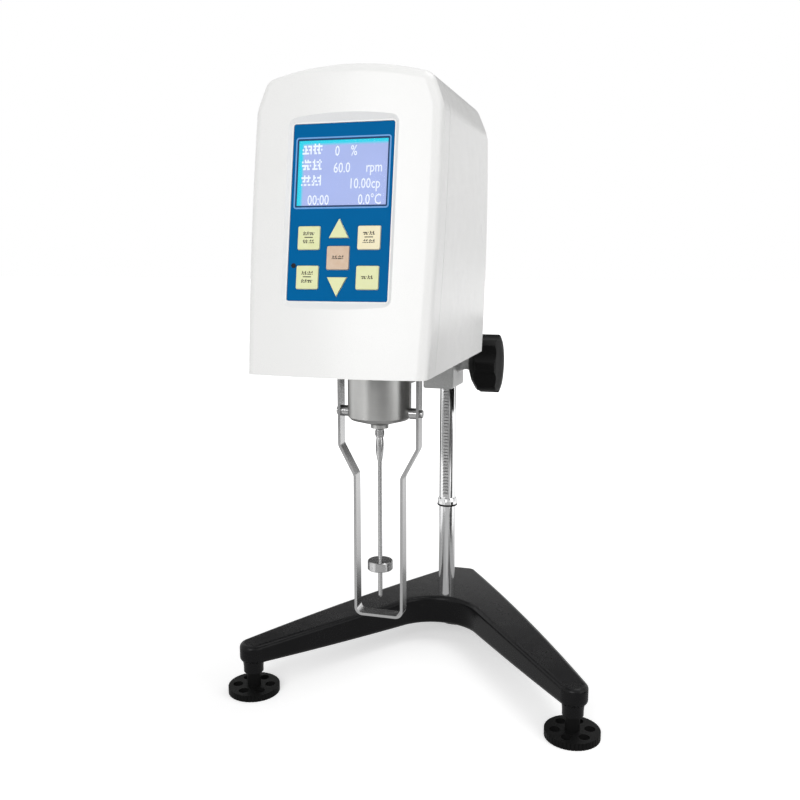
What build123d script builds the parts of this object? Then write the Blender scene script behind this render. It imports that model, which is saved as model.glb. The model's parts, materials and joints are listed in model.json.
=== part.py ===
from build123d import *
import os
from math import acos, cos, pi, radians, sin, sqrt, tan

# Bench rotational viscometer: a cast three-legged base, a column with a rack,
# and a measuring head that climbs the column and turns a spindle inside a guard.
# Millimetres. +Z is up, the display faces -Y, and the origin is the middle of
# the machine's footprint on the table.

os.makedirs("parts", exist_ok=True)

# ---- Driving dimensions ----------------------------------------------------

column_y = 124.03  # column axis, behind the middle of the machine
spindle_y = column_y - 225.2  # spindle axis
tilt = radians(9.6)  # lean of the display panel
running = 0.05  # radial clearance of a shaft in its bearing

# base
base_top = 47.6  # at the column; the arms fall away a little towards the feet
base_floor = 17.0  # underside at the hub
arm_tip_floor = 28.5  # underside at the arm ends
neck_floor = 19.0  # lower end of each foot boss
foot_x, foot_front_y, foot_rear_y = 139.6, column_y - 155.4, column_y + 54.0
foot_places = {
    "left": (-foot_x, foot_front_y),
    "right": (foot_x, foot_front_y),
    "rear": (0.0, foot_rear_y),
}
arm_end_r, neck_r = 11.8, 8.7
apex_y = column_y + 70.0
apex_r, apex_half = 8.5, 8.0
arm_bow_r = 2600.0  # the arms' outer edges are very slightly bowed
crotch_y = column_y + 16.6  # where the inner edges of the arms would meet
crotch_r = 42.0
wheel_r, wheel_t = 22.6, 5.9
stud_r = 4.0

# column, rack and pinion
column_r = 8.0
column_seat_z, column_top = 33.0, 420.0
tooth_module = 1.0
pinion_teeth = 12
pinion_r = tooth_module * pinion_teeth / 2
pinion_z = 282.7
rack_pitch_y = column_y - 9.3
pinion_y = rack_pitch_y - pinion_r
rack_width = 5.0
rack_low, rack_high = 148.5, 414.0
collar_z = 141.0  # lower face of the stop collar
collar_r = 9.6

# carriage that climbs the column
carriage_floor, carriage_top = 260.6, 305.0
arm_floor = 286.0
arm_screw_seat_z = 295.0
arm_screw_places = [(x, column_y - y) for x in (-7, 7) for y in (152, 176)]
head_floor = 307.3  # underside of the head

# head
head_half, head_half_low = 61.0, 58.7
head_shoulder_z, head_corner_z, head_crown_z = 472.0, 491.0, 498.0
head_corner_x = 54.0
head_rear_y = column_y - 142.0
head_edge_y = column_y - 304.0  # front side edges, at the height of panel_z
head_bulge = 5.5  # how far the front stands out between its side edges
wall = 3.0
rim_slope = 52  # degrees that the rim round the panel is laid back
parting = 21.5  # front shell's depth behind the front side edges

# display panel
panel_y, panel_z = column_y - 305.7, 408.0
panel_w, panel_h = 65.2, 109.6
overlay_t = 0.8
window_w, window_h, window_up = 62.0, 44.4, 24.4
key_size, key_gap, key_travel = 14.4, 0.3, 0.5
arrow_w, arrow_h = 12.4, 11.5
side_key_x = 19.5
key_rows = {"top": -15.9, "middle": -28.2, "bottom": -40.3}
arrow_up_y, arrow_down_y = -10.1, -46.0

# measuring drive and guard
boss_r, boss_floor = 23.0, 266.0
collar_tip_r, collar_tip_z = 6.4, 258.6
guard_half_top, guard_half_low = 29.5, 17.75
guard_bend_top, guard_bend_low, guard_floor = 244.8, 222.8, 115.4
guard_t, guard_w = 2.0, 10.5
rotor_r, rotor_t, rotor_z, rotor_tip_z = 9.35, 6.9, 151.3, 129.5
torque_disc_z, drive_disc_z = 328.0, 338.0
motor_plate_z = 360.0


# ---- Helpers ---------------------------------------------------------------


def keep(piece, name):
    """Label a finished piece and write it to its own file."""
    piece.part.label = name
    export_step(piece.part, f"parts/{name}.step")


def level(z, y=0.0, x=0.0):
    """Horizontal plane, facing up."""
    return Plane(origin=(x, y, z), x_dir=(1, 0, 0), z_dir=(0, 0, 1))


def upright(y, z=0.0, x=0.0):
    """Vertical plane across the machine, facing the user; local y is up."""
    return Plane(origin=(x, y, z), x_dir=(1, 0, 0), z_dir=(0, -1, 0))


def lengthwise(x, y=0.0, z=0.0):
    """Vertical plane along the machine, facing right; local x runs to the back."""
    return Plane(origin=(x, y, z), x_dir=(0, 1, 0), z_dir=(1, 0, 0))


def leaning(y, z, depth=0.0):
    """Plane parallel to the display panel, facing the user, moved out by depth."""
    outward = (0, -cos(tilt), sin(tilt))
    return Plane(origin=(0, y, z), x_dir=(1, 0, 0), z_dir=outward).offset(depth)


def turned(profile, y, x=0.0):
    """Solid of revolution about a vertical axis, from (radius, height) corners."""
    with BuildPart() as piece:
        with BuildSketch(upright(y, x=x)):
            with BuildLine():
                Polyline(*profile, close=True)
            make_face()
        revolve(axis=Axis((x, y, 0), (0, 0, 1)))
    return piece


def tube(y, z_low, z_high, outer, inner, x=0.0):
    """Plain ring about a vertical axis."""
    corners = [(inner, z_low), (outer, z_low), (outer, z_high), (inner, z_high)]
    return turned(corners, y, x)


# ---- Base ------------------------------------------------------------------

def bowed_edge():
    """Start, middle and end of the long arc that runs round the foot's and the apex's circles."""
    foot, apex = Vector(foot_x, foot_front_y), Vector(apex_half, apex_y)
    span = (apex - foot).length
    to_foot, to_apex = arm_bow_r - arm_end_r, arm_bow_r - apex_r
    along = (to_foot**2 - to_apex**2 + span**2) / (2 * span)
    inward = Vector(foot.Y - apex.Y, apex.X - foot.X) / span
    centre = foot + (apex - foot) * (along / span) + inward * sqrt(to_foot**2 - along**2)
    start = centre + (foot - centre).normalized() * arm_bow_r
    end = centre + (apex - centre).normalized() * arm_bow_r
    return start, centre - inward * arm_bow_r, end


def inner_touch():
    """Where the straight inner edge of an arm runs onto the foot's circle."""
    foot, crotch = Vector(foot_x, foot_front_y), Vector(0, crotch_y)
    reach = (foot - crotch).length
    along = (foot - crotch) / reach
    inward = Vector(along.Y, -along.X)
    straight = sqrt(reach**2 - arm_end_r**2)
    return crotch + (along * straight + inward * arm_end_r) * (straight / reach)


with BuildPart() as base_casting:
    with BuildSketch(level(base_floor)):
        with Locations((-foot_x, foot_front_y), (foot_x, foot_front_y)):
            Circle(arm_end_r)
        with Locations((-apex_half, apex_y), (apex_half, apex_y)):
            Circle(apex_r)
        with BuildLine():
            right_edge = bowed_edge()
            left_edge = [Vector(-p.X, p.Y) for p in right_edge]
            ThreePointArc(*right_edge)
            ThreePointArc(*left_edge)
            top = apex_y + apex_r
            Polyline(right_edge[2], (apex_half, top), (-apex_half, top), left_edge[2])
            touch = inner_touch()
            Line(right_edge[0], touch)
            FilletPolyline(touch, (0, crotch_y), (-touch.X, touch.Y), radius=crotch_r)
            Line((-touch.X, touch.Y), left_edge[0])
        make_face()
    extrude(amount=base_top - base_floor)
    # Seen from the side, the top falls towards the feet in a long curve.
    with BuildSketch(lengthwise(0)):
        with BuildLine():
            front, rear = foot_front_y - 20, apex_y + 20
            ThreePointArc(
                (front, base_top - 2.6), (column_y - 70, base_top - 0.95), (rear, base_top - 0.1)
            )
            Polyline(
                (rear, base_top - 0.1), (rear, base_top + 9), (front, base_top + 9),
                (front, base_top - 2.6),
            )
        make_face()
    extrude(amount=foot_x + 20, both=True, mode=Mode.SUBTRACT)
    fillet(base_casting.faces().sort_by(Axis.Z)[-1].edges(), 4.0)
    # The underside rises along the arms.
    with BuildSketch(lengthwise(0)):
        with BuildLine():
            ThreePointArc(
                (rear, base_floor + 0.1), (column_y - 50, base_floor + 3.6), (front, arm_tip_floor + 1)
            )
            Polyline(
                (front, arm_tip_floor + 1), (front, base_floor - 1), (rear, base_floor - 1),
                (rear, base_floor + 0.1),
            )
        make_face()
    extrude(amount=foot_x + 20, both=True, mode=Mode.SUBTRACT)
    fillet(base_casting.faces().sort_by(Axis.Z)[0].edges(), 5.0)
    # Bosses for the levelling feet, waisted down to the neck.
    for side, (x, y) in foot_places.items():
        with BuildSketch(upright(y, x=x)):
            with BuildLine():
                Line((0, neck_floor), (neck_r, neck_floor))
                ThreePointArc((neck_r, neck_floor), (neck_r + 0.1, 24.5), (neck_r + 1.1, 30.5))
                Polyline((neck_r + 1.1, 30.5), (0, 30.5), (0, neck_floor))
            make_face()
        revolve(axis=Axis((x, y, 0), (0, 0, 1)))
    # Tapped holes for the feet.
    with Locations([(x, y, neck_floor) for x, y in foot_places.values()]):
        Cylinder(
            stud_r + running,
            21.0,
            align=(Align.CENTER, Align.CENTER, Align.MIN),
            mode=Mode.SUBTRACT,
        )
    # Spot face that clears the rear wheel's hub.
    with Locations((0, foot_rear_y, neck_floor)):
        Cylinder(neck_r, 4.0, align=(Align.CENTER, Align.CENTER, Align.MAX), mode=Mode.SUBTRACT)
    # Column socket, its bolt hole and the recess for the nut.
    with Locations((0, column_y, base_top)):
        Cylinder(
            column_r,
            base_top - column_seat_z,
            align=(Align.CENTER, Align.CENTER, Align.MAX),
            mode=Mode.SUBTRACT,
        )
        Cylinder(4.3, 60, mode=Mode.SUBTRACT)
    with Locations((0, column_y, base_floor)):
        Cylinder(
            9.2, 9.0, align=(Align.CENTER, Align.CENTER, Align.MIN), mode=Mode.SUBTRACT
        )
keep(base_casting, "base_casting")

flutes = 45
wheel_hub_top = neck_floor - 1.4
for side, (x, y) in foot_places.items():
    with BuildPart() as wheel:
        with BuildSketch(level(0, y, x)):
            Circle(wheel_r)
            with PolarLocations(wheel_r + 0.2, flutes):
                Rectangle(0.9, 0.9, rotation=45, mode=Mode.SUBTRACT)
            with PolarLocations(0.63 * wheel_r, 6, start_angle=16):
                Circle(4.4, mode=Mode.SUBTRACT)
        extrude(amount=wheel_t)
        with BuildSketch(level(wheel_t, y, x)):
            Circle(6.0)
        extrude(amount=wheel_hub_top - wheel_t)
        with BuildSketch(level(1.5, y, x)):
            Circle(stud_r)
        extrude(amount=20, mode=Mode.SUBTRACT)
    keep(wheel, f"foot_wheel_{side}")
    stud = turned(
        [(0, 1.5), (stud_r, 1.5), (stud_r, 33.0), (stud_r - 1, 34.0), (0, 34.0)], y, x
    )
    keep(stud, f"foot_stud_{side}")

with BuildPart() as column:
    with BuildSketch(level(column_seat_z, column_y)):
        Circle(column_r)
    extrude(amount=column_top - column_seat_z)
    chamfer(column.edges().sort_by(Axis.Z)[-1], 1.2)
    # Threaded tail through the base.
    with BuildSketch(level(column_seat_z, column_y)):
        Circle(4.0)
    extrude(amount=-15.5)
    # Keyway that holds the rack.
    with BuildSketch(level(rack_low, column_y - 8.0)):
        Rectangle(rack_width, 6.0)
    extrude(amount=rack_high - rack_low, mode=Mode.SUBTRACT)
keep(column, "column")

with BuildPart() as column_nut:
    with BuildSketch(level(base_floor + 1.0, column_y)):
        RegularPolygon(7.5, 6)
        Circle(4.0, mode=Mode.SUBTRACT)
    extrude(amount=6.0)
keep(column_nut, "column_nut")
keep(tube(column_y, base_floor + 7.0, base_floor + 9.0, 8.8, 4.3), "column_washer")

stop_collar = turned(
    [
        (column_r, collar_z),
        (collar_r, collar_z),
        (collar_r, collar_z + 3.0),
        (collar_r - 0.6, collar_z + 5.4),
        (column_r, collar_z + 6.4),
    ],
    column_y,
)
keep(stop_collar, "stop_collar")

# O-ring under the collar, eight-sided in section.
ring_middle = (column_r + 1.0, collar_z - 1.0)
ring_section = [
    (ring_middle[0] + cos(radians(a)), ring_middle[1] + sin(radians(a)))
    for a in range(0, 360, 45)
]
keep(turned(ring_section, column_y), "collar_ring")

# ---- Rack and pinion -------------------------------------------------------

rack_pitch = pi * tooth_module
addendum, dedendum = 0.95 * tooth_module, 1.25 * tooth_module
pressure = radians(20)
backlash = 0.16
tooth_half = rack_pitch / 4 - backlash / 2  # half a tooth's thickness on the pitch line
# A gap of the rack faces the pinion's tooth at pinion_z.
teeth_below = 42
rack_teeth = 83
first_tooth_z = pinion_z - (teeth_below - 0.5) * rack_pitch

with BuildPart() as rack:
    with BuildSketch(lengthwise(-rack_width / 2)):
        with BuildLine():
            Polyline(
                (column_y - 5.0, rack_low),
                (column_y - 5.0, rack_high),
                (rack_pitch_y + dedendum, rack_high),
                (rack_pitch_y + dedendum, rack_low),
                close=True,
            )
        make_face()
        root_half = tooth_half + dedendum * tan(pressure)
        tip_half = tooth_half - addendum * tan(pressure)
        for tooth in range(rack_teeth):
            z = first_tooth_z + tooth * rack_pitch
            with BuildLine():
                Polyline(
                    (rack_pitch_y + dedendum, z - root_half),
                    (rack_pitch_y - addendum, z - tip_half),
                    (rack_pitch_y - addendum, z + tip_half),
                    (rack_pitch_y + dedendum, z + root_half),
                    close=True,
                )
            make_face()
    extrude(amount=rack_width)
keep(rack, "rack")


def half_angle(radius):
    """Half the angle that an involute tooth of the pinion takes up at a radius."""
    base_r = pinion_r * cos(pressure)
    roll = acos(min(1.0, base_r / radius))
    involute = (tan(roll) - roll) - (tan(pressure) - pressure)
    return (pi / 2 - backlash / pinion_r * pinion_teeth / 2) / pinion_teeth - involute


def flank(radius, side):
    """Point of a tooth's flank; the tooth points along local +x."""
    angle = side * half_angle(radius)
    return (radius * cos(angle), radius * sin(angle))


with BuildPart() as pinion:
    root_r, tip_r = pinion_r - 1.2 * tooth_module, pinion_r + 0.85 * tooth_module
    base_r = pinion_r * cos(pressure)
    with BuildSketch(lengthwise(-3.0, pinion_y, pinion_z)):
        Circle(root_r)
        with BuildSketch(mode=Mode.PRIVATE) as tooth_outline:
            with BuildLine():
                Line((root_r - 0.4, -0.95), flank(base_r, -1))
                ThreePointArc(flank(base_r, -1), flank(pinion_r, -1), flank(tip_r, -1))
                Line(flank(tip_r, -1), flank(tip_r, 1))
                ThreePointArc(flank(tip_r, 1), flank(pinion_r, 1), flank(base_r, 1))
                Line(flank(base_r, 1), (root_r - 0.4, 0.95))
                Line((root_r - 0.4, 0.95), (root_r - 0.4, -0.95))
            make_face()
        with PolarLocations(0, pinion_teeth):
            add(tooth_outline.sketch)
        Circle(stud_r - 1.0, mode=Mode.SUBTRACT)
    extrude(amount=6.0)
keep(pinion, "pinion")

# ---- Carriage and lift knob ------------------------------------------------

knob_x = 24.5  # inner face of the knob
shaft_r = stud_r - 1.0

with BuildPart() as carriage:
    # Block round the column, drawn forward to hold the pinion.
    with BuildSketch(level(carriage_floor)):
        with Locations((0, column_y)):
            Circle(14.5)
        with BuildLine():
            Polyline(
                (-14.5, column_y),
                (-15.5, column_y - 40),
                (13.0, column_y - 40),
                (14.5, column_y),
                close=True,
            )
        make_face()
    extrude(amount=carriage_top - carriage_floor)
    fillet(carriage.edges().filter_by(Axis.Z).group_by(Axis.Y)[0], 3.0)
    # Arm that reaches forward under the head.
    with BuildSketch(level(arm_floor)):
        with Locations((0, column_y - 105)):
            RectangleRounded(27.0, 160.0, 6.0)
    extrude(amount=head_floor - arm_floor)
    fillet(carriage.faces().sort_by(Axis.Z)[0].edges(), 2.0)
    # Boss that carries the knob's shaft, flared where it leaves the block.
    with BuildSketch(upright(pinion_y, pinion_z)):
        with BuildLine():
            Line((10.0, 0), (10.0, 12.0))
            Line((10.0, 12.0), (13.0, 12.0))
            ThreePointArc((13.0, 12.0), (15.2, 8.2), (knob_x - 0.5, 6.8))
            Line((knob_x - 0.5, 6.8), (knob_x - 0.5, 0))
            Line((knob_x - 0.5, 0), (10.0, 0))
        make_face()
    revolve(axis=Axis((0, pinion_y, pinion_z), (1, 0, 0)))
    # Bore for the column, slot for the rack, pocket for the pinion.
    with BuildSketch(level(carriage_floor, column_y)):
        Circle(column_r + running)
        with Locations((0, -7)):
            Rectangle(rack_width + 1.0, 12.0)
    extrude(amount=60, mode=Mode.SUBTRACT)
    with BuildSketch(lengthwise(0, pinion_y, pinion_z)):
        Circle(pinion_r + 1.6)
    extrude(amount=3.4, both=True, mode=Mode.SUBTRACT)
    # Bush bores on both sides of the pinion, and the friction screw at the back.
    with BuildSketch(lengthwise(-12.0, pinion_y, pinion_z)):
        Circle(5.0)
    extrude(amount=60, mode=Mode.SUBTRACT)
    with BuildSketch(upright(column_y, 272.0)):
        Circle(3.0)
    extrude(amount=-20, mode=Mode.SUBTRACT)
    # Screw holes into the head's floor.
    with BuildSketch(level(arm_floor)):
        with Locations(*arm_screw_places):
            Circle(4.6)
    extrude(amount=arm_screw_seat_z - arm_floor, mode=Mode.SUBTRACT)
    with BuildSketch(level(arm_floor)):
        with Locations(*arm_screw_places):
            Circle(2.5)
    extrude(amount=30, mode=Mode.SUBTRACT)
keep(carriage, "carriage")

with BuildPart() as shaft_bushes:
    for x_start, length in ((-12.0, 8.4), (3.6, knob_x - 4.1)):
        with BuildSketch(lengthwise(x_start, pinion_y, pinion_z)):
            Circle(5.0)
            Circle(shaft_r + running, mode=Mode.SUBTRACT)
        extrude(amount=length)
keep(shaft_bushes, "shaft_bushes")

with BuildPart() as friction_pad:
    with BuildSketch(upright(column_y + column_r + running, 272.0)):
        Circle(2.95)
    extrude(amount=-2.4)
    # Its face is hollowed to the column's radius.
    with Locations((0, column_y, 272.0)):
        Cylinder(column_r + running, 10, mode=Mode.SUBTRACT)
keep(friction_pad, "friction_pad")

with BuildPart() as friction_screw:
    with BuildSketch(upright(column_y + column_r + running + 2.4, 272.0)):
        Circle(2.95)
    extrude(amount=-3.6)
    with BuildSketch(upright(column_y + column_r + running + 6.0, 272.0)):
        Circle(2.95)
        RegularPolygon(1.5, 6, mode=Mode.SUBTRACT)
    extrude(amount=-2.0)
keep(friction_screw, "friction_screw")

with BuildPart() as pinion_shaft:
    with BuildSketch(lengthwise(-11.5, pinion_y, pinion_z)):
        Circle(shaft_r)
    extrude(amount=knob_x + 11.5 + 18.0)
keep(pinion_shaft, "pinion_shaft")

knob_r, knob_t, lobes = 27.5, 26.0, 7
with BuildPart() as lift_knob:
    # Turned form: coned back, straight grip, slightly domed face.
    with BuildSketch(upright(pinion_y, pinion_z)):
        with BuildLine():
            Polyline(
                (knob_x, 0),
                (knob_x, 9.0),
                (knob_x + 3.0, 17.5),
                (knob_x + 7.0, 24.0),
                (knob_x + 11.5, knob_r + 1.5),
                (knob_x + 19.0, knob_r + 1.5),
                (knob_x + 22.5, 27.0),
                (knob_x + 23.8, 23.5),
                (knob_x + knob_t, 9.0),
                (knob_x + knob_t, 0),
                (knob_x, 0),
            )
        make_face()
    revolve(axis=Axis((0, pinion_y, pinion_z), (1, 0, 0)))
    # Lobes for the fingers.
    with BuildSketch(lengthwise(knob_x - 1, pinion_y, pinion_z)):
        Circle(knob_r)
        with PolarLocations(knob_r + 12.0, lobes):
            Circle(15.5, mode=Mode.SUBTRACT)
        fillet(vertices(), 3.0)
    extrude(amount=knob_t + 2, mode=Mode.INTERSECT)
    with BuildSketch(lengthwise(knob_x - 1, pinion_y, pinion_z)):
        Circle(shaft_r)
    extrude(amount=19.0, mode=Mode.SUBTRACT)
keep(lift_knob, "lift_knob")

# ---- Head shells -----------------------------------------------------------


def head_form(inset=0.0, below=0.0, edge_r=0.0):
    """Outer form of the head, or the same form drawn in all round by inset."""
    floor = head_floor + 0.3 - below
    with BuildPart() as form:
        # Seen from the front: bowed sides, cut shoulders, a crowned top.
        with BuildSketch(upright(head_rear_y - inset)):
            with BuildLine():
                low = (head_half_low - inset, floor)
                shoulder = (head_half - inset, head_shoulder_z)
                corner = (head_corner_x - 0.7 * inset, head_corner_z - inset)
                crown = (0, head_crown_z - inset)
                ThreePointArc(low, (head_half + 0.3 - inset, 400.0), shoulder)
                Line(shoulder, corner)
                ThreePointArc(corner, crown, (-corner[0], corner[1]))
                Line((-corner[0], corner[1]), (-shoulder[0], shoulder[1]))
                ThreePointArc(
                    (-shoulder[0], shoulder[1]),
                    (inset - head_half - 0.3, 400.0),
                    (-low[0], low[1]),
                )
                Line((-low[0], low[1]), low)
            make_face()
            fillet(vertices().sort_by(Axis.Y)[2:4], 20.0)
            fillet(vertices().sort_by(Axis.Y)[-2:], 10.0 - inset)
        extrude(amount=200)
        # Seen along the lean of the front: a face that bulges between its edges.
        along = Plane(
            origin=(0, head_edge_y, panel_z),
            x_dir=(1, 0, 0),
            z_dir=(0, sin(tilt), cos(tilt)),
        )
        with BuildSketch(along.offset(-125)):
            with BuildLine():
                half, back = head_half + 6, 250
                edge = inset + head_bulge * ((half / head_half) ** 2 - 1)
                ThreePointArc((-half, edge), (0, inset - head_bulge), (half, edge))
                Polyline((half, edge), (half, back), (-half, back), (-half, edge))
            make_face()
        extrude(amount=250, mode=Mode.INTERSECT)
        # Seen from the side: the top rounds down to the back.
        with BuildSketch(lengthwise(0)):
            with BuildLine():
                rear, top = head_rear_y - inset, head_crown_z + 5 - inset
                Polyline(
                    (rear - 20, head_crown_z - inset),
                    (rear - 20, top),
                    (rear + 10, top),
                    (rear + 10, 470.0 - inset),
                    (rear - 3.0, 470.0 - inset),
                )
                ThreePointArc(
                    (rear - 3.0, 470.0 - inset),
                    (rear - 9.0, 487.0 - inset),
                    (rear - 20, head_crown_z - inset),
                )
            make_face()
        extrude(amount=80, both=True, mode=Mode.SUBTRACT)
        if edge_r:
            front = form.faces().sort_by(Axis.Y)[0]
            fillet(front.edges().sort_by(Axis.Z)[1:], edge_r)
    return form.part


head_outside = head_form(edge_r=7.0)
head_inside = head_form(wall, below=6.0)
split_plane = leaning(head_edge_y, panel_z, -parting)

with BuildPart() as front_shell:
    add(head_outside)
    add(head_inside, mode=Mode.SUBTRACT)
    split(bisect_by=split_plane.offset(0.2), keep=Keep.TOP)
    # Tray behind the display panel.
    with BuildSketch(leaning(panel_y, panel_z, -overlay_t - 2.6)):
        Rectangle(panel_w + 7.0, panel_h + 7.0)
    extrude(amount=overlay_t + 4.2)
    with BuildSketch(leaning(panel_y, panel_z, -overlay_t)):
        RectangleRounded(panel_w + 0.6, panel_h + 0.6, 1.5)
    extrude(amount=12, mode=Mode.SUBTRACT)
    # The opening's rim slopes back to the panel all round.
    with BuildSketch(leaning(panel_y, panel_z, 0.3)):
        RectangleRounded(panel_w + 2.0, panel_h + 2.0, 2.5)
    extrude(amount=6.0, taper=-rim_slope, mode=Mode.SUBTRACT)
    # Window for the display and holes for the keys' stems.
    with BuildSketch(leaning(panel_y, panel_z, -overlay_t - 4)):
        with Locations((0, window_up)):
            Rectangle(window_w - 2, window_h - 2)
        with Locations(
            *[(x, key_rows[row]) for x in (-side_key_x, side_key_x) for row in ("top", "bottom")],
            (0, key_rows["middle"]),
            (0, arrow_up_y - 1.5),
            (0, arrow_down_y + 1.5),
        ):
            Circle(2.8)
    extrude(amount=8, mode=Mode.SUBTRACT)
keep(front_shell, "front_shell")

port_z = 335.0
with BuildPart() as rear_shell:
    add(head_outside)
    add(head_inside, mode=Mode.SUBTRACT)
    split(bisect_by=split_plane.offset(-0.2), keep=Keep.BOTTOM)
    # Openings in the back for the switch, inlet, printer port and probe socket.
    with BuildSketch(upright(head_rear_y, port_z)):
        with Locations((34, 0)):
            Rectangle(19.4, 13.2)
        with Locations((12, 0)):
            Circle(5.6)
        with Locations((-14, 0)):
            Rectangle(19.0, 10.4)
        with Locations((-38, 0)):
            Circle(5.6)
        # Air slots above the power supply.
        with Locations((0, 95)):
            with GridLocations(0, 6.0, 1, 6):
                SlotOverall(56.0, 2.4)
    extrude(amount=12, both=True, mode=Mode.SUBTRACT)
    # Seat for the spirit level.
    with BuildSketch(level(head_crown_z - 8, column_y - 200)):
        Circle(9.1)
    extrude(amount=12, mode=Mode.SUBTRACT)
keep(rear_shell, "rear_shell")

level_y = column_y - 200
level_cup = turned(
    [(0, 490.0), (9.0, 490.0), (9.0, 498.1), (8.6, 498.4), (7.6, 498.4), (7.6, 492.0), (0, 492.0)],
    level_y,
)
keep(level_cup, "level_cup")
keep(turned([(0, 492.0), (7.6, 492.0), (7.6, 497.3), (5.0, 497.9), (0, 497.9)], level_y), "level_glass")

# ---- Display panel and keys ------------------------------------------------


def arrow_outline(middle, height, width, grow=0.0):
    """Corners of a triangle key; a negative height points down."""
    tip = height / 2 + (2.2 * grow if height > 0 else -2.2 * grow)
    base = -height / 2 - (grow if height > 0 else -grow)
    half = width / 2 + 2.0 * grow
    return [(0, middle + tip), (-half, middle + base), (half, middle + base)]


corner_keys = {
    "key_menu": (-side_key_x, key_rows["top"]),
    "key_speed": (side_key_x, key_rows["top"]),
    "key_start": (-side_key_x, key_rows["bottom"]),
    "key_print": (side_key_x, key_rows["bottom"]),
    "key_enter": (0, key_rows["middle"]),
}
arrow_keys = {"key_up": (arrow_up_y, arrow_h), "key_down": (arrow_down_y, -arrow_h)}

with BuildPart() as key_overlay:
    with BuildSketch(leaning(panel_y, panel_z, -overlay_t)):
        RectangleRounded(panel_w, panel_h, 1.2)
        with Locations((0, window_up)):
            Rectangle(window_w - 1.6, window_h - 1.6, mode=Mode.SUBTRACT)
        with Locations(*corner_keys.values()):
            RectangleRounded(
                key_size + 2 * key_gap, key_size + 2 * key_gap, 1.2, mode=Mode.SUBTRACT
            )
        for middle, height in arrow_keys.values():
            with BuildLine():
                Polyline(*arrow_outline(middle, height, arrow_w, key_gap), close=True)
            make_face(mode=Mode.SUBTRACT)
    extrude(amount=overlay_t)
keep(key_overlay, "key_overlay")

stem_depth = overlay_t + 3.4
for name, place in corner_keys.items():
    with BuildPart() as key:
        with BuildSketch(leaning(panel_y, panel_z, -0.2)):
            with Locations(place):
                RectangleRounded(key_size, key_size, 1.0)
        extrude(amount=1.1)
        chamfer(key.faces().sort_by(Axis.Y)[0].edges(), 0.3)
        with BuildSketch(leaning(panel_y, panel_z, -0.2)):
            with Locations(place):
                Circle(2.2)
        extrude(amount=-stem_depth)
    keep(key, name)
for name, (middle, height) in arrow_keys.items():
    with BuildPart() as key:
        with BuildSketch(leaning(panel_y, panel_z, -0.2)):
            with BuildLine():
                Polyline(*arrow_outline(middle, height, arrow_w), close=True)
            make_face()
        extrude(amount=1.1)
        with BuildSketch(leaning(panel_y, panel_z, -0.2)):
            with Locations((0, middle + (-1.5 if height > 0 else 1.5))):
                Circle(2.2)
        extrude(amount=-stem_depth)
    keep(key, name)

with BuildPart() as display_window:
    with BuildSketch(leaning(panel_y, panel_z, -overlay_t)):
        with Locations((0, window_up)):
            Rectangle(window_w - 1.8, window_h - 1.8)
    extrude(amount=overlay_t - 0.2)
keep(display_window, "display_window")

with BuildPart() as display_module:
    with BuildSketch(leaning(panel_y, panel_z, -12.4)):
        with Locations((0, window_up)):
            RectangleRounded(93.0, 54.0, 1.0)
    extrude(amount=1.6)
    with BuildSketch(leaning(panel_y, panel_z, -10.8)):
        with Locations((0, window_up)):
            Rectangle(76.0, 50.0)
    extrude(amount=7.4)
    with BuildSketch(leaning(panel_y, panel_z, -3.4)):
        with Locations((0, window_up)):
            Rectangle(window_w - 2.4, window_h - 2.4)
    extrude(amount=2.4)
keep(display_module, "display_module")

with BuildPart() as keypad_board:
    with BuildSketch(leaning(panel_y, panel_z, -8.6)):
        with Locations((0, -28.0)):
            Rectangle(60.0, 52.0)
    extrude(amount=1.6)
    with BuildSketch(leaning(panel_y, panel_z, -7.0)):
        with Locations(
            *corner_keys.values(), (0, arrow_up_y - 1.5), (0, arrow_down_y + 1.5)
        ):
            Rectangle(6.0, 6.0)
    extrude(amount=1.8)
keep(keypad_board, "keypad_board")

with BuildPart() as main_board:
    with BuildSketch(leaning(panel_y, panel_z, -24.0)):
        Rectangle(96.0, 108.0)
        with GridLocations(88.0, 100.0, 2, 2):
            Circle(1.6, mode=Mode.SUBTRACT)
    extrude(amount=1.6)
    with BuildSketch(leaning(panel_y, panel_z, -24.0)):
        with Locations((-20, 18)):
            Rectangle(14.0, 14.0)
        with Locations((18, 20), (18, -6)):
            Rectangle(18.0, 8.0)
        with Locations((-24, -30), (26, -36)):
            Circle(5.0)
    extrude(amount=-6.0)
keep(main_board, "main_board")

# ---- Floor plate, supply and connectors ------------------------------------

plate_t = 4.0
plate_front, plate_rear = column_y - 315.5, head_rear_y - wall - 0.4
with BuildPart() as floor_plate:
    with BuildSketch(level(head_floor, (plate_front + plate_rear) / 2)):
        RectangleRounded(110.0, plate_rear - plate_front, 5.0)
    extrude(amount=plate_t)
    with Locations((0, spindle_y, head_floor)):
        Cylinder(19.0, 20, mode=Mode.SUBTRACT)
    with BuildSketch(level(head_floor)):
        with Locations(*arm_screw_places):
            Circle(2.5)
    extrude(amount=plate_t, mode=Mode.SUBTRACT)
keep(floor_plate, "floor_plate")

with BuildPart() as arm_screws:
    for x, y in arm_screw_places:
        with BuildSketch(level(arm_screw_seat_z - 5.0, y, x)):
            Circle(4.3)
        extrude(amount=5.0)
        with BuildSketch(level(arm_screw_seat_z, y, x)):
            Circle(2.5)
        extrude(amount=head_floor + plate_t - arm_screw_seat_z)
        with BuildSketch(level(arm_screw_seat_z - 5.0, y, x)):
            RegularPolygon(2.3, 6)
        extrude(amount=2.6, mode=Mode.SUBTRACT)
keep(arm_screws, "arm_screws")

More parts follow.
